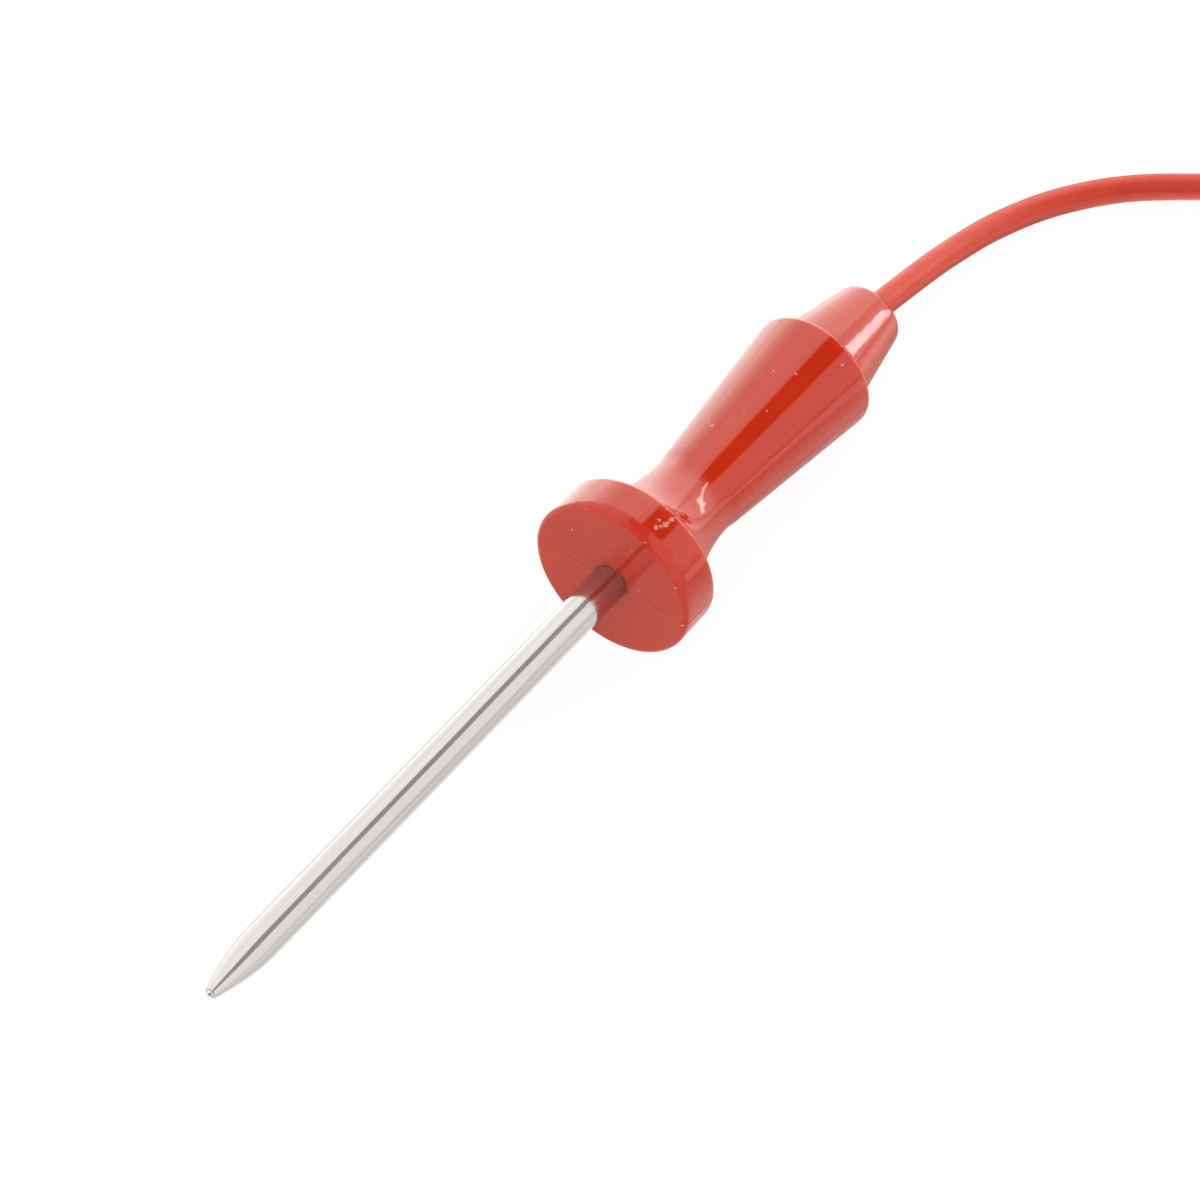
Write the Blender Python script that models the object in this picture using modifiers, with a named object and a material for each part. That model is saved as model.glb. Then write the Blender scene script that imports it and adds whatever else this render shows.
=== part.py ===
"""A wired meat probe, lying on a table: steel sheath, red silicone handle, cable, coil and jack plug.

Units are metres and +Z is up. The table is z = 0. The probe's own pieces are modelled along the
axis of an empty, "probe_axis": its z runs from the tip (negative) through the front face of the
handle (zero) to the cable (positive), its x points down at rest, and its y is the world's y.
"""

import math

import bmesh
import bpy
import numpy as np
from mathutils import Vector

# Clearances between pieces
FIT = 0.0003
SMALL_FIT = 0.0002
CUT_OVERRUN = 0.002

# Handle: a push-pin form with a front flange, a neck and a flared grip
FLANGE_FRONT_RADIUS = 0.0114
FLANGE_BACK_RADIUS = 0.0113
FLANGE_THICKNESS = 0.00645
NECK_RADIUS = 0.00585
NECK_RUN = 0.01125
NECK_BLEND = 0.0023
CONE_START_RADIUS = 0.0061
CONE_LENGTH = 0.0248
GRIP_RADIUS = 0.0085
EDGE_ROUNDING = 0.00035
LOWER_MOULD_DEPTH = 0.977
CHAMBER_RADIUS = 0.0039

# Strain relief: a boot behind the grip, with a shank that snaps into it
BOOT_LENGTH = 0.0124
BOOT_BASE_RADIUS = 0.0068
BOOT_END_RADIUS = 0.0047
BOOT_END_ROUNDING = 0.0012
SHANK_LENGTH = 0.0085
SHANK_RADIUS = 0.0046
BARB_HEIGHT = 0.0008
BARB_LENGTH = 0.0018
BARB_SETBACK = 0.0022

# Sheath: a 3/16 inch tube, swaged to a point
SHEATH_RADIUS = 0.00238
SHEATH_WALL = 0.00035
SHEATH_EXPOSED = 0.0828
TAPER_LENGTH = 0.010
TAPER_FULLNESS = 1.7
TAPER_END_RADIUS = 0.00078
NUB_RADIUS = 0.0005
NUB_LENGTH = 0.0005
NOSE_DEPTH = 0.0032
NOSE_ROUNDING = 0.0004
COLLAR_PLACE = 0.0100
COLLAR_RADIUS = 0.0042
COLLAR_THICKNESS = 0.0015
RIB_HEIGHT = 0.0007
RIB_LENGTH = 0.0014

# Sensor, leads and splices
POTTING_LENGTH = 0.0090
BEAD_RADIUS = 0.00065
BEAD_LENGTH = 0.0020
BEAD_SETBACK = 0.0080
LEAD_RADIUS = 0.00025
LEAD_OFFSET = 0.00040
LINER_WALL = 0.00035
FAN_LENGTH = 0.0027
CRIMP_LENGTH = 0.0056
CRIMP_WALL = 0.00030
CRIMP_SOCKET_DEPTH = 0.0018
SPLICE_OFFSET = 0.00175
SPLICE_SLEEVE_WALL = 0.00030
SPLICE_SLEEVE_OVERHANG = 0.0006
CORE_RADIUS = 0.00050
CORE_OFFSET = 0.00075
ANCHOR_LENGTH = 0.0024
ANCHOR_WALL = 0.00070
JACKET_LIP = 0.0005

# Cable, coil and tie. The coil's turns are packed two, three and two high.
CABLE_RADIUS = 0.00175
COIL_RADIUS = 0.01925
COIL_CENTRE = (0.1721, -0.0131)
TIE_ANGLE = 60.0
TIE_WIDTH = 0.0040
TIE_THICKNESS = 0.0009
TIE_SINK = 0.0005

# Jack plug, 6.35 mm, with a moulded grip. Places run from the plug's rear to its point.
PLUG_REAR = (0.1746, -0.0291)
PLUG_TAIL_RADIUS = 0.0030
PLUG_NECK_RADIUS = 0.0036
PLUG_TAIL_LENGTH = 0.0090
PLUG_GRIP_RADIUS = 0.0052
PLUG_GRIP_LENGTH = 0.0190
PLUG_SHOULDER_LENGTH = 0.0030
PLUG_EDGE = 0.0006
PLUG_CABLE_DEPTH = 0.0080
JACK_RADIUS = 0.003175
JACK_LENGTH = 0.0305
JACK_SHANK = 0.0085
SLEEVE_WALL = 0.00075
SLEEVE_EXPOSED = 0.0205
INSULATOR_RING = 0.0009
INSULATOR_WALL = 0.00070
JACK_ROD_RADIUS = 0.0010
JACK_HEAD_RADIUS = 0.0031
JACK_WAIST_RADIUS = 0.0023
JACK_NOSE_RADIUS = 0.0009

# Facets round a turned piece
FINE_STEPS = 48
MIDDLE_STEPS = 32
SMALL_STEPS = 16

# The cable's free run, from the boot's end to the coil: x, y, z of its centre
CABLE_ROUTE = (
    (0.0730, -0.00015, 0.00682),
    (0.0764, -0.00040, 0.00622),
    (0.0802, -0.00070, 0.00554),
    (0.0842, -0.00110, 0.00479),
    (0.0884, -0.00170, 0.00401),
    (0.0926, -0.00250, 0.00331),
    (0.0967, -0.00370, 0.00269),
    (0.1011, -0.00545, 0.00217),
    (0.1051, -0.00775, 0.00186),
    (0.1087, -0.0105, 0.00178),
    (0.1118, -0.0135, 0.00177),
    (0.1145, -0.0167, 0.00177),
    (0.1168, -0.0197, 0.00177),
    (0.1207, -0.0247, 0.00177),
    (0.1252, -0.0296, 0.00177),
    (0.1310, -0.0336, 0.00177),
    (0.1376, -0.0352, 0.00177),
    (0.1437, -0.0338, 0.00177),
    (0.1483, -0.0295, 0.00177),
    (0.1505, -0.0237, 0.00177),
    (0.1511, -0.0175, 0.00177),
)

# The cable's last stretch, off the coil's top and up to the plug: angle, radius, height
TAIL_ROUTE = (
    (34.0, 0.01750, 0.0086),
    (20.0, 0.01750, 0.0101),
    (6.0, 0.01750, 0.0123),
    (-8.0, 0.01745, 0.0148),
    (-22.0, 0.01735, 0.0173),
    (-36.0, 0.01720, 0.0192),
    (-50.0, 0.01700, 0.0202),
)

# Places along the probe's axis, worked out from the sizes above
NECK_PLACE = FLANGE_THICKNESS + NECK_RUN
CONE_PLACE = NECK_PLACE + NECK_BLEND
GRIP_END = CONE_PLACE + CONE_LENGTH
BOOT_BASE = GRIP_END + FIT
BOOT_END = BOOT_BASE + BOOT_LENGTH
SHANK_FRONT = GRIP_END - SHANK_LENGTH
ANCHOR_PLACE = SHANK_FRONT - FIT - ANCHOR_LENGTH
JACKET_FRONT = ANCHOR_PLACE - JACKET_LIP
CRIMP_PLACE = JACKET_FRONT - FAN_LENGTH - CRIMP_LENGTH
SHEATH_END = CRIMP_PLACE - FAN_LENGTH
RIB_PLACE = COLLAR_PLACE + COLLAR_THICKNESS + FIT
TIP = -SHEATH_EXPOSED
NOSE = TIP + NOSE_DEPTH
POTTING_END = NOSE + FIT + POTTING_LENGTH
BEAD_REAR = TIP + BEAD_SETBACK + BEAD_LENGTH

# Radii of pieces that fit in or over another
CABLE_BORE = CABLE_RADIUS + FIT
BARB_RADIUS = SHANK_RADIUS + BARB_HEIGHT
RIB_RADIUS = SHEATH_RADIUS + RIB_HEIGHT
SHEATH_BORE = SHEATH_RADIUS - SHEATH_WALL
LINER_RADIUS = SHEATH_BORE - SMALL_FIT
POTTING_BORE = max(BEAD_RADIUS, LEAD_OFFSET + LEAD_RADIUS) + SMALL_FIT
CRIMP_RADIUS = CORE_RADIUS + SMALL_FIT + CRIMP_WALL
SPLICE_SLEEVE_BORE = CRIMP_RADIUS + SMALL_FIT
COIL_RISE = math.sqrt(3.0) * CABLE_RADIUS
COIL_HEIGHT = 2.0 * (COIL_RISE + CABLE_RADIUS)
COIL_OUTER_RADIUS = COIL_RADIUS + 3.0 * CABLE_RADIUS
PLUG_LENGTH = PLUG_TAIL_LENGTH + PLUG_SHOULDER_LENGTH + PLUG_GRIP_LENGTH


def clear_scene():
    for obj in list(bpy.data.objects):
        bpy.data.objects.remove(obj, do_unlink=True)


def new_collection(name):
    collection = bpy.data.collections.new(name)
    bpy.context.scene.collection.children.link(collection)
    return collection


def new_material(name, colour, roughness, metallic=0.0):
    material = bpy.data.materials.new(name)
    material.use_nodes = True
    shader = material.node_tree.nodes["Principled BSDF"]
    shader.inputs["Base Color"].default_value = (*colour, 1.0)
    shader.inputs["Roughness"].default_value = roughness
    shader.inputs["Metallic"].default_value = metallic
    material.diffuse_color = (*colour, 1.0)
    return material


def arc(centre, radius, start, end, pieces):
    """Points on an arc of (r, z), from one angle to the other, in degrees."""
    angles = np.radians(np.linspace(start, end, pieces + 1))
    return [(centre[0] + radius * math.cos(a), centre[1] + radius * math.sin(a)) for a in angles]


def bezier(start, start_handle, end_handle, end, pieces):
    """Points on a cubic curve, without its first one."""
    corners = np.array([start, start_handle, end_handle, end])
    points = []
    for t in np.linspace(0.0, 1.0, pieces + 1)[1:]:
        weights = ((1 - t) ** 3, 3 * t * (1 - t) ** 2, 3 * t**2 * (1 - t), t**3)
        points.append(tuple(np.array(weights) @ corners))
    return points


def smooth_curve(points):
    """Closely spaced points on a smooth curve through the given ones."""
    knots = [Vector(p) for p in points]
    knots = [2 * knots[0] - knots[1], *knots, 2 * knots[-1] - knots[-2]]
    dense = []
    for a, b, c, d in zip(knots, knots[1:], knots[2:], knots[3:]):
        span = (c - b).length
        slope_in = (c - a) * span / ((b - a).length + span)
        slope_out = (d - b) * span / (span + (d - c).length)
        for step in range(32):
            t = step / 32
            dense.append(
                (2 * t**3 - 3 * t**2 + 1) * b
                + (t**3 - 2 * t**2 + t) * slope_in
                + (3 * t**2 - 2 * t**3) * c
                + (t**3 - t**2) * slope_out
            )
    dense.append(knots[-2])
    return dense


def evenly(points, spacing):
    """The same path with its points about the given distance apart."""
    path = np.array([tuple(p) for p in points])
    along = np.concatenate([[0.0], np.cumsum(np.linalg.norm(np.diff(path, axis=0), axis=1))])
    stations = np.linspace(0.0, along[-1], max(2, round(along[-1] / spacing) + 1))
    return [Vector([np.interp(s, along, path[:, k]) for k in range(3)]) for s in stations]


def add(obj, collection, material=None, parent=None, place=(0.0, 0.0, 0.0)):
    collection.objects.link(obj)
    obj.location = place
    if parent:
        obj.parent = parent
    if material:
        obj.data.materials.append(material)
    return obj


def turned(name, profile, steps, closed=False):
    """An object with the (r, z) profile, spun round its z axis by a Screw modifier."""
    mesh = bpy.data.meshes.new(name)
    shape = bmesh.new()
    vertices = [shape.verts.new((r, 0.0, z)) for r, z in profile]
    pairs = list(zip(vertices, vertices[1:]))
    if closed:
        pairs.append((vertices[-1], vertices[0]))
    for pair in pairs:
        shape.edges.new(pair)
    shape.to_mesh(mesh)
    shape.free()
    obj = bpy.data.objects.new(name, mesh)
    screw = obj.modifiers.new("turn", "SCREW")
    screw.axis = "Z"
    screw.steps = steps
    screw.render_steps = steps
    screw.use_merge_vertices = True
    screw.merge_threshold = 0.000001
    screw.use_smooth_shade = True
    return obj


def turned_in(collection, name, profile, steps):
    obj = turned(name, profile, steps)
    collection.objects.link(obj)
    return obj


def as_mesh(obj, name):
    """A new object with the mesh that the given one evaluates to. The old one is removed."""
    bpy.context.view_layer.update()
    evaluated = obj.evaluated_get(bpy.context.evaluated_depsgraph_get())
    mesh = bpy.data.meshes.new_from_object(evaluated)
    bpy.data.objects.remove(obj, do_unlink=True)
    mesh.name = name
    return bpy.data.objects.new(name, mesh)


def cut(obj, cutter, cutters):
    cutters.objects.link(cutter)
    cutter.hide_render = True
    cutter.display_type = "WIRE"
    boolean = obj.modifiers.new("cut", "BOOLEAN")
    boolean.operation = "DIFFERENCE"
    boolean.object = cutter


def wire(name, points, radius):
    """A round wire through the points, with flat capped ends."""
    curve = bpy.data.curves.new(name, "CURVE")
    curve.dimensions = "3D"
    curve.bevel_depth = radius
    curve.bevel_resolution = 2
    curve.use_fill_caps = True
    spline = curve.splines.new("POLY")
    spline.points.add(len(points) - 1)
    for spot, point in zip(spline.points, points):
        spot.co = (*point, 1.0)
        spot.radius = 1.0
    spline.use_smooth = True
    return bpy.data.objects.new(name, curve)


def taper_radius(from_tip):
    """The sheath's outer radius at a distance behind its tip."""
    share = (from_tip - NUB_LENGTH) / (TAPER_LENGTH - NUB_LENGTH)
    share = min(1.0, max(0.0, share))
    growth = 1.0 - (1.0 - share) ** TAPER_FULLNESS
    return TAPER_END_RADIUS + (SHEATH_RADIUS - TAPER_END_RADIUS) * growth


def nose_stations(start):
    """Distances behind the tip at which the inside of the point is shaped."""
    return list(np.linspace(start, TAPER_LENGTH, 6))


def handle_outline():
    rounding = EDGE_ROUNDING
    slope = (GRIP_RADIUS - CONE_START_RADIUS) / CONE_LENGTH
    lean = math.degrees(math.atan(slope))
    blend = 0.4 * NECK_BLEND
    flange_edge = (FLANGE_BACK_RADIUS, FLANGE_THICKNESS)
    fillet_start = (FLANGE_BACK_RADIUS - rounding, FLANGE_THICKNESS)
    fillet_fall = 0.53 * (fillet_start[0] - NECK_RADIUS)
    fillet_run = 0.46 * (NECK_PLACE - FLANGE_THICKNESS)
    neck = (NECK_RADIUS, NECK_PLACE)
    outline = [(0.0, GRIP_END)]
    outline += arc((GRIP_RADIUS - rounding, GRIP_END - rounding), rounding, 90, -lean, 4)
    outline.append((CONE_START_RADIUS, CONE_PLACE))
    outline += bezier(
        (CONE_START_RADIUS, CONE_PLACE),
        (CONE_START_RADIUS - slope * blend, CONE_PLACE - blend),
        (NECK_RADIUS, NECK_PLACE + blend),
        neck,
        3,
    )
    outline += bezier(
        neck,
        (NECK_RADIUS, NECK_PLACE - fillet_run),
        (fillet_start[0] - fillet_fall, FLANGE_THICKNESS),
        fillet_start,
        11,
    )
    outline += arc((flange_edge[0] - rounding, flange_edge[1] - rounding), rounding, 90, 0, 4)[1:]
    outline += arc((FLANGE_FRONT_RADIUS - rounding, rounding), rounding, 0, -90, 4)
    outline.append((0.0, 0.0))
    return outline


def handle_cavity():
    """Everything that is moulded out of the handle: sheath bore, pockets, splice chamber, socket."""
    sheath_hole = SHEATH_RADIUS + FIT
    barb_front = SHANK_FRONT + BARB_SETBACK
    return [
        (0.0, GRIP_END + CUT_OVERRUN),
        (SHANK_RADIUS + FIT, GRIP_END + CUT_OVERRUN),
        (SHANK_RADIUS + FIT, barb_front + BARB_LENGTH + FIT),
        (BARB_RADIUS + FIT, barb_front + BARB_LENGTH + FIT),
        (BARB_RADIUS + FIT, barb_front - FIT),
        (SHANK_RADIUS + FIT, barb_front - FIT),
        (SHANK_RADIUS + FIT, SHANK_FRONT - FIT),
        (CHAMBER_RADIUS, SHANK_FRONT - FIT),
        (CHAMBER_RADIUS, SHEATH_END + FIT),
        (sheath_hole, SHEATH_END + FIT),
        (sheath_hole, RIB_PLACE + RIB_LENGTH + FIT),
        (RIB_RADIUS + FIT, RIB_PLACE + RIB_LENGTH + FIT),
        (RIB_RADIUS + FIT, RIB_PLACE),
        (COLLAR_RADIUS + FIT, RIB_PLACE),
        (COLLAR_RADIUS + FIT, COLLAR_PLACE - FIT),
        (sheath_hole, COLLAR_PLACE - FIT),
        (sheath_hole, -CUT_OVERRUN),
        (0.0, -CUT_OVERRUN),
    ]


def shallow_lower_mould(mesh):
    """Lowers the half under the parting plane to a flatter arc, which leaves a faint corner there."""
    depth = LOWER_MOULD_DEPTH
    bow_radius = (1.0 + depth**2) / (2.0 * depth)
    bow_rise = bow_radius - depth
    start = math.asin(bow_rise / bow_radius)
    for vertex in mesh.vertices:
        radius = math.hypot(vertex.co.x, vertex.co.y)
        if vertex.co.x <= 1e-7 or radius < 1e-7:
            continue
        share = math.acos(max(-1.0, min(1.0, vertex.co.y / radius))) / math.pi
        angle = start + share * (math.pi - 2.0 * start)
        vertex.co.x = radius * (bow_radius * math.sin(angle) - bow_rise)
        vertex.co.y = radius * bow_radius * math.cos(angle)


def make_handle(parent, parts, cutters, material):
    handle = as_mesh(turned_in(parts, "handle_blank", handle_outline(), FINE_STEPS), "handle_grip")
    shallow_lower_mould(handle.data)
    handle.data.shade_smooth()
    handle.data.set_sharp_from_angle(angle=math.radians(30.0))
    add(handle, parts, material, parent)
    cavity = turned("handle_cavity", handle_cavity(), MIDDLE_STEPS)
    cavity.parent = parent
    cut(handle, cavity, cutters)


def make_strain_relief(parent, parts, material):
    rounding = BOOT_END_ROUNDING
    lean = math.degrees(math.atan((BOOT_BASE_RADIUS - BOOT_END_RADIUS) / BOOT_LENGTH))
    barb_front = SHANK_FRONT + BARB_SETBACK
    profile = [(CABLE_BORE, BOOT_END)]
    profile += arc((BOOT_END_RADIUS - rounding, BOOT_END - rounding), rounding, 90, lean, 5)
    profile += [
        (BOOT_BASE_RADIUS, BOOT_BASE),
        (SHANK_RADIUS, BOOT_BASE),
        (SHANK_RADIUS, barb_front + BARB_LENGTH),
        (BARB_RADIUS, barb_front + BARB_LENGTH),
        (BARB_RADIUS, barb_front + 0.4 * BARB_LENGTH),
        (SHANK_RADIUS, barb_front),
        (SHANK_RADIUS, SHANK_FRONT),
        (CABLE_BORE, SHANK_FRONT),
    ]
    add(turned("strain_relief", profile, MIDDLE_STEPS, closed=True), parts, material, parent)


def make_sheath(parent, parts, material):
    profile = [(0.0, NOSE), (0.7 * (taper_radius(NOSE_DEPTH) - SHEATH_WALL), NOSE)]
    inside = nose_stations(NOSE_DEPTH + NOSE_ROUNDING)
    profile += [(taper_radius(a) - SHEATH_WALL, TIP + a) for a in inside]
    profile += [(SHEATH_BORE, SHEATH_END), (SHEATH_RADIUS, SHEATH_END)]
    profile += [
        (SHEATH_RADIUS, RIB_PLACE + RIB_LENGTH),
        (SHEATH_RADIUS + 0.75 * RIB_HEIGHT, RIB_PLACE + 0.8 * RIB_LENGTH),
        (RIB_RADIUS, RIB_PLACE + 0.5 * RIB_LENGTH),
        (SHEATH_RADIUS + 0.75 * RIB_HEIGHT, RIB_PLACE + 0.2 * RIB_LENGTH),
        (SHEATH_RADIUS, RIB_PLACE),
    ]
    outside = TAPER_LENGTH - (TAPER_LENGTH - NUB_LENGTH) * np.linspace(0.0, 1.0, 12) ** 1.15
    profile += [(taper_radius(a), TIP + a) for a in outside]
    profile += arc((0.0, TIP + NUB_RADIUS), NUB_RADIUS, -15, -90, 4)
    add(turned("probe_sheath", profile, MIDDLE_STEPS), parts, material, parent)


def make_collar(parent, parts, material):
    profile = [
        (SHEATH_RADIUS + FIT, COLLAR_PLACE + COLLAR_THICKNESS),
        (COLLAR_RADIUS, COLLAR_PLACE + COLLAR_THICKNESS),
        (COLLAR_RADIUS, COLLAR_PLACE),
        (SHEATH_RADIUS + FIT, COLLAR_PLACE),
    ]
    add(turned("sheath_collar", profile, MIDDLE_STEPS, closed=True), parts, material, parent)


def make_potting(parent, parts, material):
    """Cement that fills the point and holds the bead in a blind bore."""
    floor = BEAD_REAR - BEAD_LENGTH - SMALL_FIT
    start = NOSE_DEPTH + FIT + NOSE_ROUNDING
    outside = [a for a in nose_stations(start) if TIP + a < POTTING_END]
    profile = [(0.0, floor), (POTTING_BORE, floor), (POTTING_BORE, POTTING_END)]
    profile.append((SHEATH_BORE - SMALL_FIT, POTTING_END))
    profile += [(taper_radius(a) - SHEATH_WALL - SMALL_FIT, TIP + a) for a in reversed(outside)]
    profile.append((0.6 * (taper_radius(start) - SHEATH_WALL), NOSE + FIT))
    profile.append((0.0, NOSE + FIT))
    add(turned("tip_potting", profile, SMALL_STEPS), parts, material, parent)


def make_bead(parent, parts, material):
    """The sensor, a long glass bead."""
    half = BEAD_LENGTH / 2
    angles = np.radians(np.linspace(90.0, -90.0, 9))
    profile = [(BEAD_RADIUS * math.cos(a), half * math.sin(a)) for a in angles]
    profile[0] = (0.0, half)
    profile[-1] = (0.0, -half)
    bead = turned("sensor_bead", profile, SMALL_STEPS)
    add(bead, parts, material, parent, (0.0, 0.0, BEAD_REAR - half))


def make_liner(parent, parts, material):
    """Sleeving that keeps the two leads off the sheath's wall."""
    bore = LINER_RADIUS - LINER_WALL
    profile = [
        (bore, SHEATH_END - FIT),
        (LINER_RADIUS, SHEATH_END - FIT),
        (LINER_RADIUS, POTTING_END + FIT),
        (bore, POTTING_END + FIT),
    ]
    add(turned("lead_liner", profile, SMALL_STEPS, closed=True), parts, material, parent)


def fan(side, start, end, start_offset, end_offset):
    """Points of a wire that swings sideways between two places, along an S."""
    points = []
    for t in np.linspace(0.0, 1.0, 8):
        sway = t * t * (3.0 - 2.0 * t)
        offset = start_offset + (end_offset - start_offset) * sway
        points.append((0.0, side * offset, start + (end - start) * t))
    return points


def make_wiring(parent, parts, materials):
    """For each side: the lead from the bead, its crimp, the crimp's sleeve and the cable's core."""
    crimp_end = CRIMP_PLACE + CRIMP_LENGTH
    for side, letter in ((-1.0, "a"), (1.0, "b")):
        lead = [(0.0, side * LEAD_OFFSET, BEAD_REAR + FIT)]
        lead += fan(side, SHEATH_END, CRIMP_PLACE, LEAD_OFFSET, SPLICE_OFFSET)
        lead.append((0.0, side * SPLICE_OFFSET, CRIMP_PLACE + CRIMP_SOCKET_DEPTH - FIT))
        add(wire(f"lead_wire_{letter}", lead, LEAD_RADIUS), parts, materials["lead_" + letter], parent)
        core = [(0.0, side * SPLICE_OFFSET, crimp_end - CRIMP_SOCKET_DEPTH + FIT)]
        core += fan(side, crimp_end, JACKET_FRONT - FIT, SPLICE_OFFSET, CORE_OFFSET)
        add(wire(f"cable_core_{letter}", core, CORE_RADIUS), parts, materials["core_" + letter], parent)
        place = (0.0, side * SPLICE_OFFSET, CRIMP_PLACE)
        crimp = turned(f"splice_crimp_{letter}", crimp_profile(), SMALL_STEPS)
        add(crimp, parts, materials["crimp"], parent, place)
        sleeve = turned(f"splice_sleeve_{letter}", sleeve_profile(), SMALL_STEPS, closed=True)
        add(sleeve, parts, materials["sleeve"], parent, place)


def crimp_profile():
    """A butt crimp with a socket in each end and two rolled waists."""
    core_socket = CORE_RADIUS + SMALL_FIT
    lead_socket = LEAD_RADIUS + SMALL_FIT
    waist = CRIMP_RADIUS - 0.5 * CRIMP_WALL
    core_floor = CRIMP_LENGTH - CRIMP_SOCKET_DEPTH
    return [
        (0.0, core_floor),
        (core_socket, core_floor),
        (core_socket, CRIMP_LENGTH),
        (CRIMP_RADIUS, CRIMP_LENGTH),
        (CRIMP_RADIUS, 0.85 * CRIMP_LENGTH),
        (waist, 0.80 * CRIMP_LENGTH),
        (CRIMP_RADIUS, 0.75 * CRIMP_LENGTH),
        (CRIMP_RADIUS, 0.25 * CRIMP_LENGTH),
        (waist, 0.20 * CRIMP_LENGTH),
        (CRIMP_RADIUS, 0.15 * CRIMP_LENGTH),
        (CRIMP_RADIUS, 0.0),
        (lead_socket, 0.0),
        (lead_socket, CRIMP_SOCKET_DEPTH),
        (0.0, CRIMP_SOCKET_DEPTH),
    ]


def sleeve_profile():
    top = CRIMP_LENGTH + SPLICE_SLEEVE_OVERHANG
    bottom = -SPLICE_SLEEVE_OVERHANG
    outer = SPLICE_SLEEVE_BORE + SPLICE_SLEEVE_WALL
    return [(SPLICE_SLEEVE_BORE, top), (outer, top), (outer, bottom), (SPLICE_SLEEVE_BORE, bottom)]


def make_anchor(parent, parts, material):
    """The ring crimped on the cable's jacket, which bears on the strain relief's shank."""
    outer = CABLE_BORE + ANCHOR_WALL
    end = ANCHOR_PLACE + ANCHOR_LENGTH
    waist = outer - 0.3 * ANCHOR_WALL
    profile = [
        (CABLE_BORE, end),
        (outer, end),
        (outer, ANCHOR_PLACE + 0.70 * ANCHOR_LENGTH),
        (waist, ANCHOR_PLACE + 0.60 * ANCHOR_LENGTH),
        (waist, ANCHOR_PLACE + 0.40 * ANCHOR_LENGTH),
        (outer, ANCHOR_PLACE + 0.30 * ANCHOR_LENGTH),
        (outer, ANCHOR_PLACE),
        (CABLE_BORE, ANCHOR_PLACE),
    ]
    add(turned("cable_anchor", profile, MIDDLE_STEPS, closed=True), parts, material, parent)


def rest_pose():
    """The tilt and the place at which the flange's and the grip's lower rims both touch the table.

    The world's origin is then under the middle of the probe's box, without its cable.
    """
    depth = LOWER_MOULD_DEPTH
    fall = depth * ((FLANGE_BACK_RADIUS - EDGE_ROUNDING) - (GRIP_RADIUS - EDGE_ROUNDING))
    tilt = math.atan2(fall, GRIP_END - FLANGE_THICKNESS)
    outline = handle_outline()
    height = max(depth * r * math.cos(tilt) + z * math.sin(tilt) for r, z in outline)
    boot_corner = BOOT_END_RADIUS - BOOT_END_ROUNDING
    rear = BOOT_END * math.cos(tilt) + boot_corner * math.sin(tilt)
    front = TIP * math.cos(tilt)
    return tilt, Vector((-(rear + front) / 2, 0.0, height))


def cable_curve(tilt, origin):
    """The cable's centre from inside the handle to where it meets the coil."""
    along = Vector((math.cos(tilt), 0.0, -math.sin(tilt)))
    route = [origin + z * along for z in (JACKET_FRONT, BOOT_BASE, BOOT_END)]
    route += [Vector(p) for p in CABLE_ROUTE]
    centre = Vector(COIL_CENTRE)
    return [p for p in smooth_curve(route) if (p.xy - centre).length > COIL_OUTER_RADIUS + FIT]


def plug_rest(cable):
    """The plug's fall towards its point, and the place of its rear.

    Its grip lies on the coil's upper outer edge, and its barrel on the cable that it crosses.
    """
    edge_x = COIL_CENTRE[0] - math.sqrt(
        (COIL_RADIUS + CABLE_RADIUS) ** 2 - (PLUG_REAR[1] - COIL_CENTRE[1]) ** 2
    )
    crossing = next(p for p in cable if p.y < PLUG_REAR[1])
    over_edge = PLUG_GRIP_RADIUS + 1.5 * FIT
    over_cable = JACK_RADIUS + CABLE_RADIUS + FIT
    run = edge_x - crossing.x
    drop = COIL_HEIGHT - crossing.z
    fall = math.atan2(drop, run) + math.asin((over_edge - over_cable) / math.hypot(run, drop))
    height = COIL_HEIGHT + over_edge / math.cos(fall) + (PLUG_REAR[0] - edge_x) * math.tan(fall)
    return fall, Vector((*PLUG_REAR, height))


def tail_curve(plug):
    """The cable's centre from the coil's top to the bottom of the plug's rear socket."""
    cx, cy = COIL_CENTRE
    route = []
    for angle, radius, height in TAIL_ROUTE:
        turn = math.radians(angle)
        route.append(Vector((cx + radius * math.cos(turn), cy + radius * math.sin(turn), height)))
    for depth in (-2.5 * CABLE_RADIUS, 0.0, 0.5 * PLUG_CABLE_DEPTH, PLUG_CABLE_DEPTH - FIT):
        route.append(plug.matrix_world @ Vector((0.0, 0.0, depth)))
    lowest = COIL_HEIGHT + FIT + CABLE_RADIUS
    return [p for p in smooth_curve(route) if p.z > lowest]


def make_coil(parts, cutters, material):
    """The wound cable as one ring, pinched where the tie goes round it."""
    coil = turned("cable_coil", bundle_outline(0.0, COIL_RADIUS), FINE_STEPS, closed=True)
    add(coil, parts, material, None, (*COIL_CENTRE, 0.0))
    pinch = bundle_strap("coil_pinch", -TIE_SINK - FIT, 3.0 * TIE_THICKNESS, TIE_WIDTH + 2.0 * FIT)
    cutters.objects.link(pinch)
    pinch = as_mesh(pinch, "coil_pinch")
    at_tie(pinch)
    cut(coil, pinch, cutters)


def bundle_outline(growth, centre_radius):
    """The hexagonal bundle's outline, (r, z), top first and down its outer side, grown all round."""
    middle = COIL_HEIGHT / 2
    outline = []
    for corner in (60, 0, -60, -120, -180, -240):
        turn = math.radians(corner)
        spot = (
            centre_radius + 2.0 * CABLE_RADIUS * math.cos(turn),
            middle + 2.0 * CABLE_RADIUS * math.sin(turn),
        )
        outline += arc(spot, CABLE_RADIUS + growth, corner + 30, corner - 30, 1)
    return outline


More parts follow.
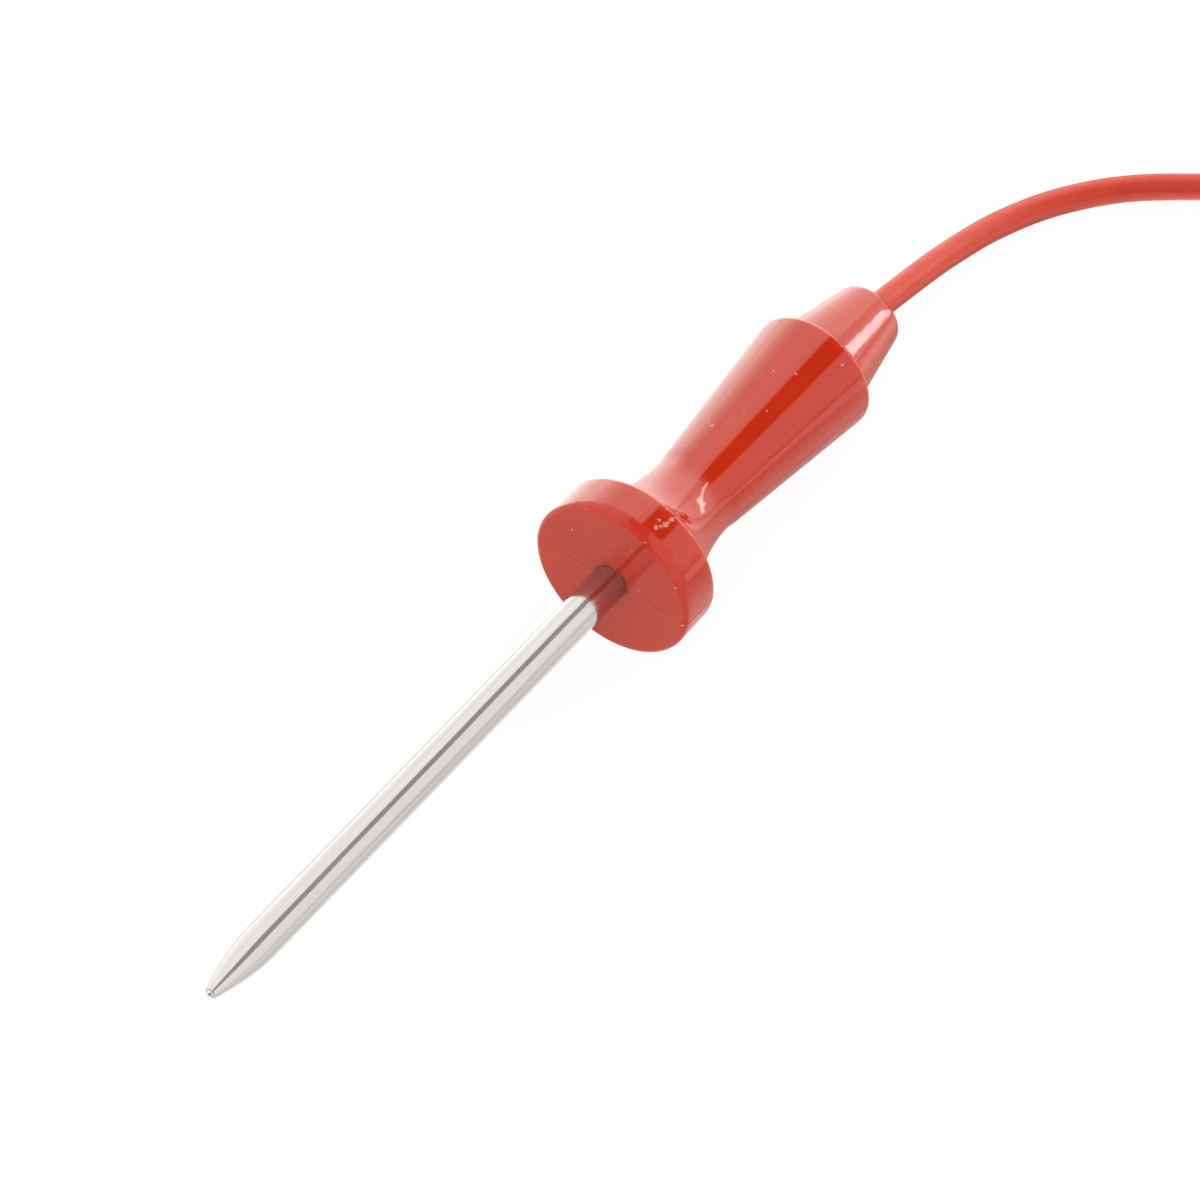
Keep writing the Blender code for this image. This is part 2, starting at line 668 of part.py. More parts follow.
def bundle_strap(name, inner_growth, outer_growth, width, lowest=-1.0):
    """A flat band whose hole is the bundle's outline."""
    curve = bpy.data.curves.new(name, "CURVE")
    curve.dimensions = "2D"
    curve.fill_mode = "BOTH"
    curve.extrude = width / 2
    for growth in (outer_growth, inner_growth):
        outline = bundle_outline(growth, 0.0)
        spline = curve.splines.new("POLY")
        spline.points.add(len(outline) - 1)
        for spot, (r, z) in zip(spline.points, outline):
            spot.co = (r, max(z, lowest), 0.0, 1.0)
        spline.use_cyclic_u = True
    return bpy.data.objects.new(name, curve)


def at_tie(obj):
    turn = math.radians(TIE_ANGLE)
    cx, cy = COIL_CENTRE
    obj.location = (cx + COIL_RADIUS * math.cos(turn), cy + COIL_RADIUS * math.sin(turn), 0.0)
    obj.rotation_euler = (math.radians(90.0), 0.0, turn)


def make_tie(parts, material):
    """The strap round the bundle. It has sunk into the soft turns, and is flat on the table below."""
    proud = TIE_THICKNESS - TIE_SINK
    tie = bundle_strap("cable_tie", -TIE_SINK, proud, TIE_WIDTH, lowest=0.0)
    add(tie, parts, material)
    at_tie(tie)


def new_axis(name, parts, place, turn):
    """An empty that a group of turned pieces is placed by, turned about the world's y."""
    axis = bpy.data.objects.new(name, None)
    parts.objects.link(axis)
    axis.location = place
    axis.rotation_euler = (0.0, turn, 0.0)
    bpy.context.view_layer.update()
    return axis


def make_plug_body(axis, parts, material):
    shank_floor = PLUG_LENGTH - JACK_SHANK - FIT
    profile = [(0.0, shank_floor), (JACK_RADIUS + FIT, shank_floor), (JACK_RADIUS + FIT, PLUG_LENGTH)]
    profile += arc((PLUG_GRIP_RADIUS - PLUG_EDGE, PLUG_LENGTH - PLUG_EDGE), PLUG_EDGE, 90, 0, 3)
    shoulder = PLUG_TAIL_LENGTH + PLUG_SHOULDER_LENGTH
    profile.append((PLUG_GRIP_RADIUS, shoulder))
    profile += bezier(
        (PLUG_GRIP_RADIUS, shoulder),
        (PLUG_GRIP_RADIUS, shoulder - 0.6 * PLUG_SHOULDER_LENGTH),
        (PLUG_NECK_RADIUS, PLUG_TAIL_LENGTH + 0.6 * PLUG_SHOULDER_LENGTH),
        (PLUG_NECK_RADIUS, PLUG_TAIL_LENGTH),
        5,
    )
    profile += [
        (PLUG_TAIL_RADIUS, 0.0),
        (CABLE_BORE, 0.0),
        (CABLE_BORE, PLUG_CABLE_DEPTH),
        (0.0, PLUG_CABLE_DEPTH),
    ]
    add(turned("plug_body", profile, MIDDLE_STEPS), parts, material, axis)


def make_jack(axis, parts, metal, plastic):
    """Barrel, insulator and tip contact, nested on one rod."""
    face = PLUG_LENGTH
    rear = face - JACK_SHANK
    sleeve_bore = JACK_RADIUS - SLEEVE_WALL
    insulator_outer = sleeve_bore - FIT
    insulator_bore = insulator_outer - INSULATOR_WALL
    sleeve_end = face + SLEEVE_EXPOSED
    ring_start = sleeve_end + FIT
    ring_end = ring_start + INSULATOR_RING
    head = ring_end + FIT
    point = face + JACK_LENGTH
    sleeve = [(sleeve_bore, sleeve_end), (JACK_RADIUS, sleeve_end), (JACK_RADIUS, rear), (sleeve_bore, rear)]
    insulator = [
        (insulator_bore, ring_end),
        (JACK_HEAD_RADIUS, ring_end),
        (JACK_HEAD_RADIUS, ring_start),
        (insulator_outer, ring_start),
        (insulator_outer, rear + FIT),
        (insulator_bore, rear + FIT),
    ]
    head_length = point - head
    tip = [(0.0, point)]
    tip += arc((0.0, point - JACK_NOSE_RADIUS), JACK_NOSE_RADIUS, 90, 35, 3)[1:]
    tip += [
        (JACK_HEAD_RADIUS, head + 0.52 * head_length),
        (JACK_HEAD_RADIUS, head + 0.45 * head_length),
        (JACK_WAIST_RADIUS, head + 0.28 * head_length),
        (JACK_HEAD_RADIUS, head + 0.10 * head_length),
        (JACK_HEAD_RADIUS, head),
        (JACK_ROD_RADIUS, head),
        (JACK_ROD_RADIUS, rear + 2.0 * FIT),
        (0.0, rear + 2.0 * FIT),
    ]
    add(turned("plug_sleeve", sleeve, MIDDLE_STEPS, closed=True), parts, metal, axis)
    add(turned("plug_insulator", insulator, MIDDLE_STEPS, closed=True), parts, plastic, axis)
    add(turned("plug_tip", tip, MIDDLE_STEPS), parts, metal, axis)


def make_probe():
    clear_scene()
    parts = new_collection("meat_probe")
    cutters = new_collection("cutters")
    silicone = new_material("red_silicone", (0.62, 0.045, 0.025), 0.28)
    cable_rubber = new_material("red_cable", (0.66, 0.060, 0.040), 0.42)
    steel = new_material("polished_steel", (0.80, 0.79, 0.77), 0.12, 1.0)
    nickel = new_material("plug_nickel", (0.82, 0.80, 0.76), 0.18, 1.0)
    black = new_material("black_plastic", (0.020, 0.020, 0.022), 0.40)
    wiring = {
        "lead_a": new_material("lead_white", (0.80, 0.80, 0.78), 0.45),
        "lead_b": new_material("lead_red", (0.60, 0.05, 0.04), 0.45),
        "core_a": new_material("core_white", (0.82, 0.82, 0.80), 0.50),
        "core_b": new_material("core_black", (0.03, 0.03, 0.03), 0.50),
        "crimp": new_material("tinned_copper", (0.72, 0.70, 0.66), 0.30, 1.0),
        "sleeve": new_material("shrink_sleeve", (0.10, 0.10, 0.11), 0.55),
    }
    tilt, origin = rest_pose()
    cable = cable_curve(tilt, origin)
    fall, plug_place = plug_rest(cable)
    axis = new_axis("probe_axis", parts, origin, math.radians(90.0) + tilt)
    plug = new_axis("plug_axis", parts, plug_place, math.radians(-90.0) - fall)

    make_handle(axis, parts, cutters, silicone)
    make_strain_relief(axis, parts, silicone)
    make_sheath(axis, parts, steel)
    make_collar(axis, parts, steel)
    make_potting(axis, parts, new_material("potting_cement", (0.75, 0.74, 0.70), 0.80))
    make_bead(axis, parts, new_material("bead_glass", (0.30, 0.22, 0.12), 0.15))
    make_liner(axis, parts, new_material("liner_white", (0.85, 0.84, 0.80), 0.60))
    make_wiring(axis, parts, wiring)
    make_anchor(axis, parts, nickel)
    run = wire("cable_run", evenly(cable, 4.0 * CABLE_RADIUS), CABLE_RADIUS)
    tail = wire("cable_tail", evenly(tail_curve(plug), 2.0 * CABLE_RADIUS), CABLE_RADIUS)
    add(run, parts, cable_rubber)
    add(tail, parts, cable_rubber)
    make_coil(parts, cutters, cable_rubber)
    make_tie(parts, black)
    make_plug_body(plug, parts, black)
    make_jack(plug, parts, nickel, black)


make_probe()
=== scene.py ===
"""The dressed scene of the meat probe: looks, light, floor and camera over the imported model."""

import math

import bmesh
import bpy
import numpy as np
from mathutils import Matrix, Vector


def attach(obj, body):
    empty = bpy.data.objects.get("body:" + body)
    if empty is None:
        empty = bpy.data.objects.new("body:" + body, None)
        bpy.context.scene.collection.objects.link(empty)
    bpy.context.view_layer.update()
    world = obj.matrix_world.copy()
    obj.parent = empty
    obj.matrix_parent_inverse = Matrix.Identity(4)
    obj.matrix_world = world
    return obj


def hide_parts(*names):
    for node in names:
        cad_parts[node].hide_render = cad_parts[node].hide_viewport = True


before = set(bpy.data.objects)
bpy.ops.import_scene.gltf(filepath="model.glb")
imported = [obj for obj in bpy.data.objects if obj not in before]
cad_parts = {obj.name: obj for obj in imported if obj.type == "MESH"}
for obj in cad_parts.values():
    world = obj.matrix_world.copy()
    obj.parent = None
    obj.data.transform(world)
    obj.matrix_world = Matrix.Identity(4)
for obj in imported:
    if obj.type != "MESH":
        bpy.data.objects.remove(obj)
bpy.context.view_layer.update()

# Sizes of the handle and its boot in metres, as the solids have them
FLANGE_FRONT_RADIUS = 0.0114
FLANGE_BACK_RADIUS = 0.0113
FLANGE_THICKNESS = 0.00645
NECK_RADIUS = 0.00585
NECK_PLACE = 0.0177
CONE_PLACE = 0.0200
CONE_START_RADIUS = 0.0061
GRIP_END = 0.0448
GRIP_RADIUS = 0.0085
EDGE = 0.00035
LOWER_DEPTH = 0.977
CHAMBER_RADIUS = 0.0039
CHAMBER_FRONT = 0.0223
CHAMBER_STEP = 0.0360
CHAMBER_MOUTH_RADIUS = 0.0048
BOOT_BASE = 0.0451
BOOT_END = 0.0575
BOOT_BASE_RADIUS = 0.0068
BOOT_END_RADIUS = 0.0047
BOOT_ROUNDING = 0.0012
JACKET_FRONT = 0.0331
TILT = math.atan2(LOWER_DEPTH * (FLANGE_BACK_RADIUS - GRIP_RADIUS), GRIP_END - FLANGE_THICKNESS)

# Sizes of the sheath
SHEATH_RADIUS = 0.00238
SHEATH_BORE = 0.00203
SHEATH_REAR = 0.0217
TIP = -0.0828
TAPER_LENGTH = 0.0100
TAPER_FULLNESS = 1.7
TAPER_END_RADIUS = 0.00078
NUB_RADIUS = 0.0005
NUB_LENGTH = 0.0005

# Sizes of the cable, its coil and its tie
FIT = 0.0003
CABLE_RADIUS = 0.00175
COIL_RADIUS = 0.01925
COIL_CENTRE = (0.1721, -0.0131)
COIL_HEIGHT = 2.0 * (math.sqrt(3.0) + 1.0) * CABLE_RADIUS
TIE_ANGLE = 60.0
TIE_WIDTH = 0.0040
TIE_SINK = 0.0005
TIE_RISE = 0.0004

# Sizes of the jack plug. Places run from the grip's rear to the contact's point.
PLUG_REAR = (0.1746, -0.0291)
PLUG_TAIL_RADIUS = 0.0030
PLUG_TAIL_LENGTH = 0.0090
PLUG_NECK_RADIUS = 0.0036
PLUG_GRIP_RADIUS = 0.0052
PLUG_LENGTH = 0.0310
PLUG_EDGE = 0.0006
JACK_RADIUS = 0.003175
JACK_LENGTH = 0.0305
JACK_SHANK = 0.0085
SLEEVE_EXPOSED = 0.0205
SLEEVE_BORE = 0.002425
SLEEVE_REAR = PLUG_LENGTH - JACK_SHANK
SLEEVE_END = PLUG_LENGTH + SLEEVE_EXPOSED

# The handle's rims as the photograph shows them, softer than the solids' own
SOFT_EDGE = 0.0007
GRIP_EDGE = 0.0006

# Facets round the turned pieces
BOOT_STEPS = 144
SHEATH_STEPS = 128
PLUG_STEPS = 96

# The cable's centre from the boot to the coil, and off the coil's top to the plug: the first
# in x, y and z, the second in degrees, radius and height round the coil

CABLE_ROUTE = (
    (0.0730, -0.00015, 0.00682),
    (0.0764, -0.00040, 0.00622),
    (0.0802, -0.00070, 0.00554),
    (0.0842, -0.00110, 0.00479),
    (0.0884, -0.00170, 0.00401),
    (0.0926, -0.00250, 0.00331),
    (0.0967, -0.00370, 0.00269),
    (0.1011, -0.00545, 0.00217),
    (0.1051, -0.00775, 0.00186),
    (0.1087, -0.0105, 0.00178),
    (0.1118, -0.0135, 0.00177),
    (0.1145, -0.0167, 0.00177),
    (0.1168, -0.0197, 0.00177),
    (0.1207, -0.0247, 0.00177),
    (0.1252, -0.0296, 0.00177),
    (0.1310, -0.0336, 0.00177),
    (0.1376, -0.0352, 0.00177),
    (0.1437, -0.0338, 0.00177),
    (0.1483, -0.0295, 0.00177),
    (0.1505, -0.0237, 0.00177),
    (0.1511, -0.0175, 0.00177),
)
TAIL_ROUTE = (
    (34.0, 0.01750, 0.0086),
    (20.0, 0.01750, 0.0101),
    (6.0, 0.01750, 0.0123),
    (-8.0, 0.01745, 0.0148),
    (-22.0, 0.01735, 0.0173),
    (-36.0, 0.01720, 0.0192),
    (-50.0, 0.01700, 0.0202),
)


# Numbers and outlines


def lerp(a, b, t):
    return a + (b - a) * t


def smooth(t):
    t = min(1.0, max(0.0, t))
    return t * t * (3.0 - 2.0 * t)


def arc(centre, radius, start, end, pieces):
    angles = np.radians(np.linspace(start, end, pieces + 1))
    return [(centre[0] + radius * math.cos(a), centre[1] + radius * math.sin(a)) for a in angles]


def bezier(start, start_handle, end_handle, end, pieces):
    corners = np.array([start, start_handle, end_handle, end])
    points = []
    for t in np.linspace(0.0, 1.0, pieces + 1)[1:]:
        weights = ((1 - t) ** 3, 3 * t * (1 - t) ** 2, 3 * t**2 * (1 - t), t**3)
        points.append(tuple(np.array(weights) @ corners))
    return points


# The probe's own axes


def axis_height():
    """Height of the axis at the handle's front face, with both lower rims on the table."""
    rims = []
    for r, z in ((FLANGE_BACK_RADIUS, FLANGE_THICKNESS), (GRIP_RADIUS, GRIP_END)):
        for turn in np.radians(np.linspace(0.0, 90.0, 5)):
            rr = r - EDGE + EDGE * math.cos(turn)
            zz = z - EDGE + EDGE * math.sin(turn)
            rims.append(LOWER_DEPTH * rr * math.cos(TILT) + zz * math.sin(TILT))
    return max(rims)


REAR = BOOT_END * math.cos(TILT) + (BOOT_END_RADIUS - BOOT_ROUNDING) * math.sin(TILT)
ORIGIN = Vector((-(REAR + TIP * math.cos(TILT)) / 2, 0.0, axis_height()))
PROBE = Matrix.Translation(ORIGIN) @ Matrix.Rotation(math.radians(90.0) + TILT, 4, "Y")
ALONG = Vector((math.cos(TILT), 0.0, -math.sin(TILT)))


# Camera


# Fitted to the object's outlines in the photograph: far off, behind a long lens
CAMERA_PLACE = (-0.57611, -0.36387, 0.92993)
CAMERA_RIGHT = (0.57900, -0.81396, 0.04719)
CAMERA_FORWARD = (0.50993, 0.31635, -0.79993)
CAMERA_SENSOR = 36.0
CAMERA_LENS = 280.27
CAMERA_CLIP = (0.01, 50.0)


def add_camera():
    right = Vector(CAMERA_RIGHT).normalized()
    forward = Vector(CAMERA_FORWARD).normalized()
    up = right.cross(forward).normalized()
    data = bpy.data.cameras.new("camera")
    data.sensor_width = CAMERA_SENSOR
    data.lens = CAMERA_LENS
    data.clip_start, data.clip_end = CAMERA_CLIP
    camera = bpy.data.objects.new("camera", data)
    turn = Matrix((right, up, -forward)).transposed().to_4x4()
    camera.matrix_world = Matrix.Translation(Vector(CAMERA_PLACE)) @ turn
    bpy.context.collection.objects.link(camera)
    bpy.context.scene.camera = camera


# Cable


def knots_to_curve(name, knots, radius):
    """One open Bezier spline through the knots, with a round section."""
    knots = [Vector(k) for k in knots]
    curve = bpy.data.curves.new(name, "CURVE")
    curve.dimensions = "3D"
    curve.bevel_depth = radius
    curve.bevel_resolution = 7
    curve.resolution_u = 8
    curve.use_fill_caps = True
    curve.twist_mode = "MINIMUM"
    spline = curve.splines.new("BEZIER")
    spline.bezier_points.add(len(knots) - 1)
    ends = [2 * knots[0] - knots[1], *knots, 2 * knots[-1] - knots[-2]]
    for point, a, b, c in zip(spline.bezier_points, ends, ends[1:], ends[2:]):
        before = (b - a).length
        after = (c - b).length
        slope = (c - a) / (before + after)
        point.handle_left_type = "FREE"
        point.handle_right_type = "FREE"
        point.co = b
        point.handle_left = b - slope * before / 3.0
        point.handle_right = b + slope * after / 3.0
    obj = bpy.data.objects.new(name, curve)
    bpy.context.collection.objects.link(obj)
    return obj


# Each turn's place across the coil's bundle, in layers of two, three and two
COIL_SPOTS = [
    (COIL_RADIUS + r * CABLE_RADIUS, CABLE_RADIUS * (1.0 + level * math.sqrt(3.0)))
    for r, level in ((1, 0), (-1, 0), (-2, 1), (0, 1), (2, 1), (1, 2), (-1, 2))
]
FULL_TURNS = len(COIL_SPOTS) - 1
LAST_SWEEP = 134
KNOT_EVERY = 10
# Degrees into the turn at which the last step to a next place starts, how much later each
# step before it starts, and how long a step takes
STEP_FROM = 185.0
STEP_LATER = 28.0
STEP_SWEEP = 30.0
# The share by which the tie draws the turns together, and the degrees over which it fades
PINCH = 0.19
PINCH_REACH = 11.0
# Depths of the cable's last knots in the plug's grip, from just behind it
PLUG_KNOTS = (-0.004375, 0.0, 0.0040, 0.0077)


def coil_point(sweep):
    """The cable's centre after so many degrees of winding, clockwise from the coil's west."""
    turn = int(sweep // 360.0)
    within = sweep - 360.0 * turn
    r, z = COIL_SPOTS[turn]
    if turn < FULL_TURNS:
        start = STEP_FROM + STEP_LATER * (FULL_TURNS - 1 - turn)
        step = smooth((within - start) / STEP_SWEEP)
        r_next, z_next = COIL_SPOTS[turn + 1]
        r = lerp(r, r_next, step)
        z = lerp(z, z_next, step)
    pinch = PINCH * math.exp(-(((within - (180.0 - TIE_ANGLE)) / PINCH_REACH) ** 2))
    r = lerp(r, COIL_RADIUS, pinch)
    z = lerp(z, COIL_HEIGHT / 2, pinch)
    angle = math.radians(180.0 - sweep)
    return (COIL_CENTRE[0] + r * math.cos(angle), COIL_CENTRE[1] + r * math.sin(angle), z)


def plug_matrix():
    """The plug's own axes: z runs from its rear to its point."""
    edge_x = COIL_CENTRE[0] - math.sqrt(
        (COIL_RADIUS + CABLE_RADIUS) ** 2 - (PLUG_REAR[1] - COIL_CENTRE[1]) ** 2
    )
    under = next(k for k, point in enumerate(CABLE_ROUTE) if point[1] < PLUG_REAR[1])
    above = Vector(CABLE_ROUTE[under - 1])
    below = Vector(CABLE_ROUTE[under])
    share = (above.y - PLUG_REAR[1]) / (above.y - below.y)
    crossing = above.lerp(below, share)
    over_edge = PLUG_GRIP_RADIUS + 1.5 * FIT
    over_cable = JACK_RADIUS + CABLE_RADIUS + FIT
    run = edge_x - crossing.x
    drop = COIL_HEIGHT - crossing.z
    fall = math.atan2(drop, run) + math.asin((over_edge - over_cable) / math.hypot(run, drop))
    height = COIL_HEIGHT + over_edge / math.cos(fall) + (PLUG_REAR[0] - edge_x) * math.tan(fall)
    place = Matrix.Translation(Vector((*PLUG_REAR, height)))
    return place @ Matrix.Rotation(math.radians(-90.0) - fall, 4, "Y")


PLUG = plug_matrix()


def cable_knots():
    knots = [ORIGIN + z * ALONG for z in (JACKET_FRONT, BOOT_BASE, BOOT_END)]
    knots += [Vector(p) for p in CABLE_ROUTE]
    sweeps = range(0, 360 * FULL_TURNS + LAST_SWEEP, KNOT_EVERY)
    knots += [Vector(coil_point(sweep)) for sweep in sweeps]
    for angle, radius, height in TAIL_ROUTE:
        turn = math.radians(angle)
        spot = (radius * math.cos(turn), radius * math.sin(turn), height)
        knots.append(Vector((*COIL_CENTRE, 0.0)) + Vector(spot))
    knots += [PLUG @ Vector((0.0, 0.0, depth)) for depth in PLUG_KNOTS]
    return knots


# Meshes


ON_AXIS = 1e-9


def to_object(name, shape):
    """A linked object from a bmesh, which is freed."""
    bmesh.ops.recalc_face_normals(shape, faces=shape.faces)
    mesh = bpy.data.meshes.new(name)
    shape.to_mesh(mesh)
    shape.free()
    obj = bpy.data.objects.new(name, mesh)
    bpy.context.collection.objects.link(obj)
    return obj


def spin(name, profile, angles, closed=True):
    """A surface of revolution about z through (r, z) points, from outside round to inside."""
    shape = bmesh.new()
    rings = []
    for r, z in profile:
        if r < ON_AXIS:
            rings.append([shape.verts.new((0.0, 0.0, z))])
        else:
            rings.append([shape.verts.new((r * math.cos(a), r * math.sin(a), z)) for a in angles])
    pairs = list(zip(rings, rings[1:]))
    if closed:
        pairs.append((rings[-1], rings[0]))
    count = len(angles)
    for upper, lower in pairs:
        for k in range(count):
            n = (k + 1) % count
            around = ((upper, k), (lower, k), (lower, n), (upper, n))
            corners = list(dict.fromkeys(ring[at % len(ring)] for ring, at in around))
            if len(corners) > 2:
                shape.faces.new(corners)
    return to_object(name, shape)


def even_angles(count):
    return [2.0 * math.pi * k / count for k in range(count)]


def parting_angles():
    """Angles round the handle, close together at the parting plane, where x is zero."""
    near = [0.0, 0.12, 0.25, 0.4, 0.6, 0.85, 1.2, 1.6, 2.1, 2.7, 3.5, 4.5, 6.0]
    side = near + list(np.linspace(8.0, 90.0, 42))
    quarter = side + [180.0 - a for a in reversed(side[:-1])]
    full = quarter + [360.0 - a for a in reversed(quarter[1:-1])]
    return [math.radians(a + 90.0) for a in full]


def shade(obj, degrees=32.0):
    obj.data.shade_smooth()
    obj.data.set_sharp_from_angle(angle=math.radians(degrees))


# The blend from neck to cone, as a share of the room it has
NECK_BLEND = 0.4
# The neck's wide fillet: how far its handles pull, as shares of its depth and its length
FILLET_FALL = 0.53
FILLET_RUN = 0.46
REAR_FACE_RADIUS = 0.0065
# The torn lip of silicone round the sheath: where it starts, and its radii and places
LIP_RADIUS = 0.0029
LIP = ((0.00262, 0.0), (0.00252, -0.00010), (0.00244, -0.00012), (0.00240, -0.00004))
LIP_FRONT = -0.00001
SHEATH_HOLE_RADIUS = 0.00240
# The lower mould half is shallower outside this radius
HALVES_FROM_RADIUS = 0.0041
# The ridge along the parting line
RIDGE_WIDTH = 0.00008
RIDGE_HEIGHT = 0.00005
RIDGE_LEAST = 0.01
FACE_SLACK = 0.0001


def handle_profile():
    """The handle's outside, from the chamber's mouth over the rear rim to the front lip."""
    slope = (GRIP_RADIUS - CONE_START_RADIUS) / (GRIP_END - CONE_PLACE)
    lean = math.degrees(math.atan(slope))
    blend = NECK_BLEND * (CONE_PLACE - NECK_PLACE)
    neck = (NECK_RADIUS, NECK_PLACE)
    fillet_start = (FLANGE_BACK_RADIUS - SOFT_EDGE, FLANGE_THICKNESS)
    fillet_fall = FILLET_FALL * (fillet_start[0] - NECK_RADIUS)
    fillet_run = FILLET_RUN * (NECK_PLACE - FLANGE_THICKNESS)
    profile = [(CHAMBER_MOUTH_RADIUS, GRIP_END), (REAR_FACE_RADIUS, GRIP_END)]
    profile += arc((GRIP_RADIUS - GRIP_EDGE, GRIP_END - GRIP_EDGE), GRIP_EDGE, 90, -lean, 9)
    rim = profile[-1]
    for t in np.linspace(0.0, 1.0, 16)[1:]:
        profile.append((lerp(rim[0], CONE_START_RADIUS, t), lerp(rim[1], CONE_PLACE, t)))
    profile += bezier(
        (CONE_START_RADIUS, CONE_PLACE),
        (CONE_START_RADIUS - slope * blend, CONE_PLACE - blend),
        (NECK_RADIUS, NECK_PLACE + blend),
        neck,
        8,
    )
    profile += bezier(
        neck,
        (NECK_RADIUS, NECK_PLACE - fillet_run),
        (fillet_start[0] - fillet_fall, FLANGE_THICKNESS),
        fillet_start,
        44,
    )
    back = (FLANGE_BACK_RADIUS - SOFT_EDGE, FLANGE_THICKNESS - SOFT_EDGE)
    profile += arc(back, SOFT_EDGE, 90, 0, 9)[1:]
    for t in (0.25, 0.5, 0.75):
        radius = lerp(FLANGE_BACK_RADIUS, FLANGE_FRONT_RADIUS, t)
        profile.append((radius, lerp(FLANGE_THICKNESS - SOFT_EDGE, SOFT_EDGE, t)))
    face_radius = FLANGE_FRONT_RADIUS - SOFT_EDGE
    profile += arc((face_radius, SOFT_EDGE), SOFT_EDGE, 0, -90, 9)
    for t in np.linspace(0.0, 1.0, 12)[1:]:
        profile.append((lerp(face_radius, LIP_RADIUS, t), 0.0))
    return profile


def tear(co):
    """How far the lip stands out here: uneven, and most where the mould's halves meet."""
    angle = math.atan2(co.x, co.y)
    waves = 0.6 + 0.5 * math.sin(3.0 * angle + 0.7) + 0.4 * math.sin(7.0 * angle + 2.0)
    waves += 2.6 * math.exp(-((abs(co.x) / 0.0005) ** 2)) * (1.0 if co.y > 0 else 1.4)
    return max(0.4, waves)


def make_handle():
    chamber = (
        (SHEATH_HOLE_RADIUS, CHAMBER_FRONT),
        (CHAMBER_RADIUS, CHAMBER_FRONT),
        (CHAMBER_RADIUS, CHAMBER_STEP),
        (CHAMBER_MOUTH_RADIUS, CHAMBER_STEP),
    )
    handle = spin("handle", [*handle_profile(), *LIP, *chamber], parting_angles())
    # The lower half's section is a flatter arc that meets the upper half at the parting plane
    bow = (1.0 + LOWER_DEPTH**2) / (2.0 * LOWER_DEPTH)
    rise = bow - LOWER_DEPTH
    start = math.asin(rise / bow)
    for vertex in handle.data.vertices:
        co = vertex.co
        radius = math.hypot(co.x, co.y)
        if co.z < LIP_FRONT:
            co.z *= tear(co)
        if co.x > 1e-7 and radius > HALVES_FROM_RADIUS:
            share = math.acos(max(-1.0, min(1.0, co.y / radius))) / math.pi
            turn = start + share * (math.pi - 2.0 * start)
            co.x = radius * (bow * math.sin(turn) - rise)
            co.y = radius * bow * math.cos(turn)
        ridge = math.exp(-((co.x / RIDGE_WIDTH) ** 2))
        outside = radius > LIP_RADIUS and -FACE_SLACK < co.z < GRIP_END + FACE_SLACK
        if outside and ridge > RIDGE_LEAST:
            if co.z < EDGE * 0.5 or co.z > GRIP_END - EDGE * 0.5:
                co.z += RIDGE_HEIGHT * ridge * (-1.0 if co.z < NECK_PLACE else 1.0)
            else:
                scale = 1.0 + RIDGE_HEIGHT * ridge / radius
                co.x *= scale
                co.y *= scale
    handle.data.transform(PROBE)
    shade(handle, 40.0)
    return handle


BOOT_HOLE_RADIUS = 0.00178
BOOT_HOLE_EDGE = 0.0003
BOOT_BASE_EDGE = 0.0002
BOOT_BASE_SINK = 0.0001
# The shank behind the base with its barb, inside the handle: radii and places
SHANK = (
    (0.0047, BOOT_BASE - BOOT_BASE_SINK),
    (0.0046, 0.0398),
    (0.0054, 0.0396),
    (0.0054, 0.0390),
    (0.0046, 0.0383),
    (0.0046, 0.0363),
    (BOOT_HOLE_RADIUS, 0.0363),
)


def make_boot():
    mouth = (BOOT_HOLE_RADIUS + BOOT_HOLE_EDGE, BOOT_END - BOOT_HOLE_EDGE)
    profile = arc(mouth, BOOT_HOLE_EDGE, 180, 90, 3)
    slope = (BOOT_BASE_RADIUS - BOOT_END_RADIUS) / (BOOT_END - BOOT_BASE)
    lean = math.degrees(math.atan(slope))
    rim = (BOOT_END_RADIUS - BOOT_ROUNDING, BOOT_END - BOOT_ROUNDING)
    profile += arc(rim, BOOT_ROUNDING, 90, lean, 12)
    top = profile[-1]
    for t in np.linspace(0.0, 1.0, 12)[1:]:
        place = lerp(top[1], BOOT_BASE + BOOT_BASE_EDGE, t)
        profile.append((lerp(top[0], BOOT_BASE_RADIUS, t), place))
    profile.append((BOOT_BASE_RADIUS - BOOT_BASE_EDGE, BOOT_BASE - BOOT_BASE_SINK))
    profile += SHANK
    boot = spin("boot", profile, even_angles(BOOT_STEPS))
    boot.data.transform(PROBE)
    shade(boot, 40.0)
    return boot


# Where the sheath's even rings start, inside the handle
RINGS_FROM = 0.0134
# The hollow behind the point: radii, and places from the tip
NOSE_HOLLOW = ((0.0, 0.0032), (0.0009, 0.0036), (0.0020, TAPER_LENGTH))


def taper_radius(from_tip):
    share = (from_tip - NUB_LENGTH) / (TAPER_LENGTH - NUB_LENGTH)
    share = min(1.0, max(0.0, share))
    growth = 1.0 - (1.0 - share) ** TAPER_FULLNESS
    return TAPER_END_RADIUS + (SHEATH_RADIUS - TAPER_END_RADIUS) * growth


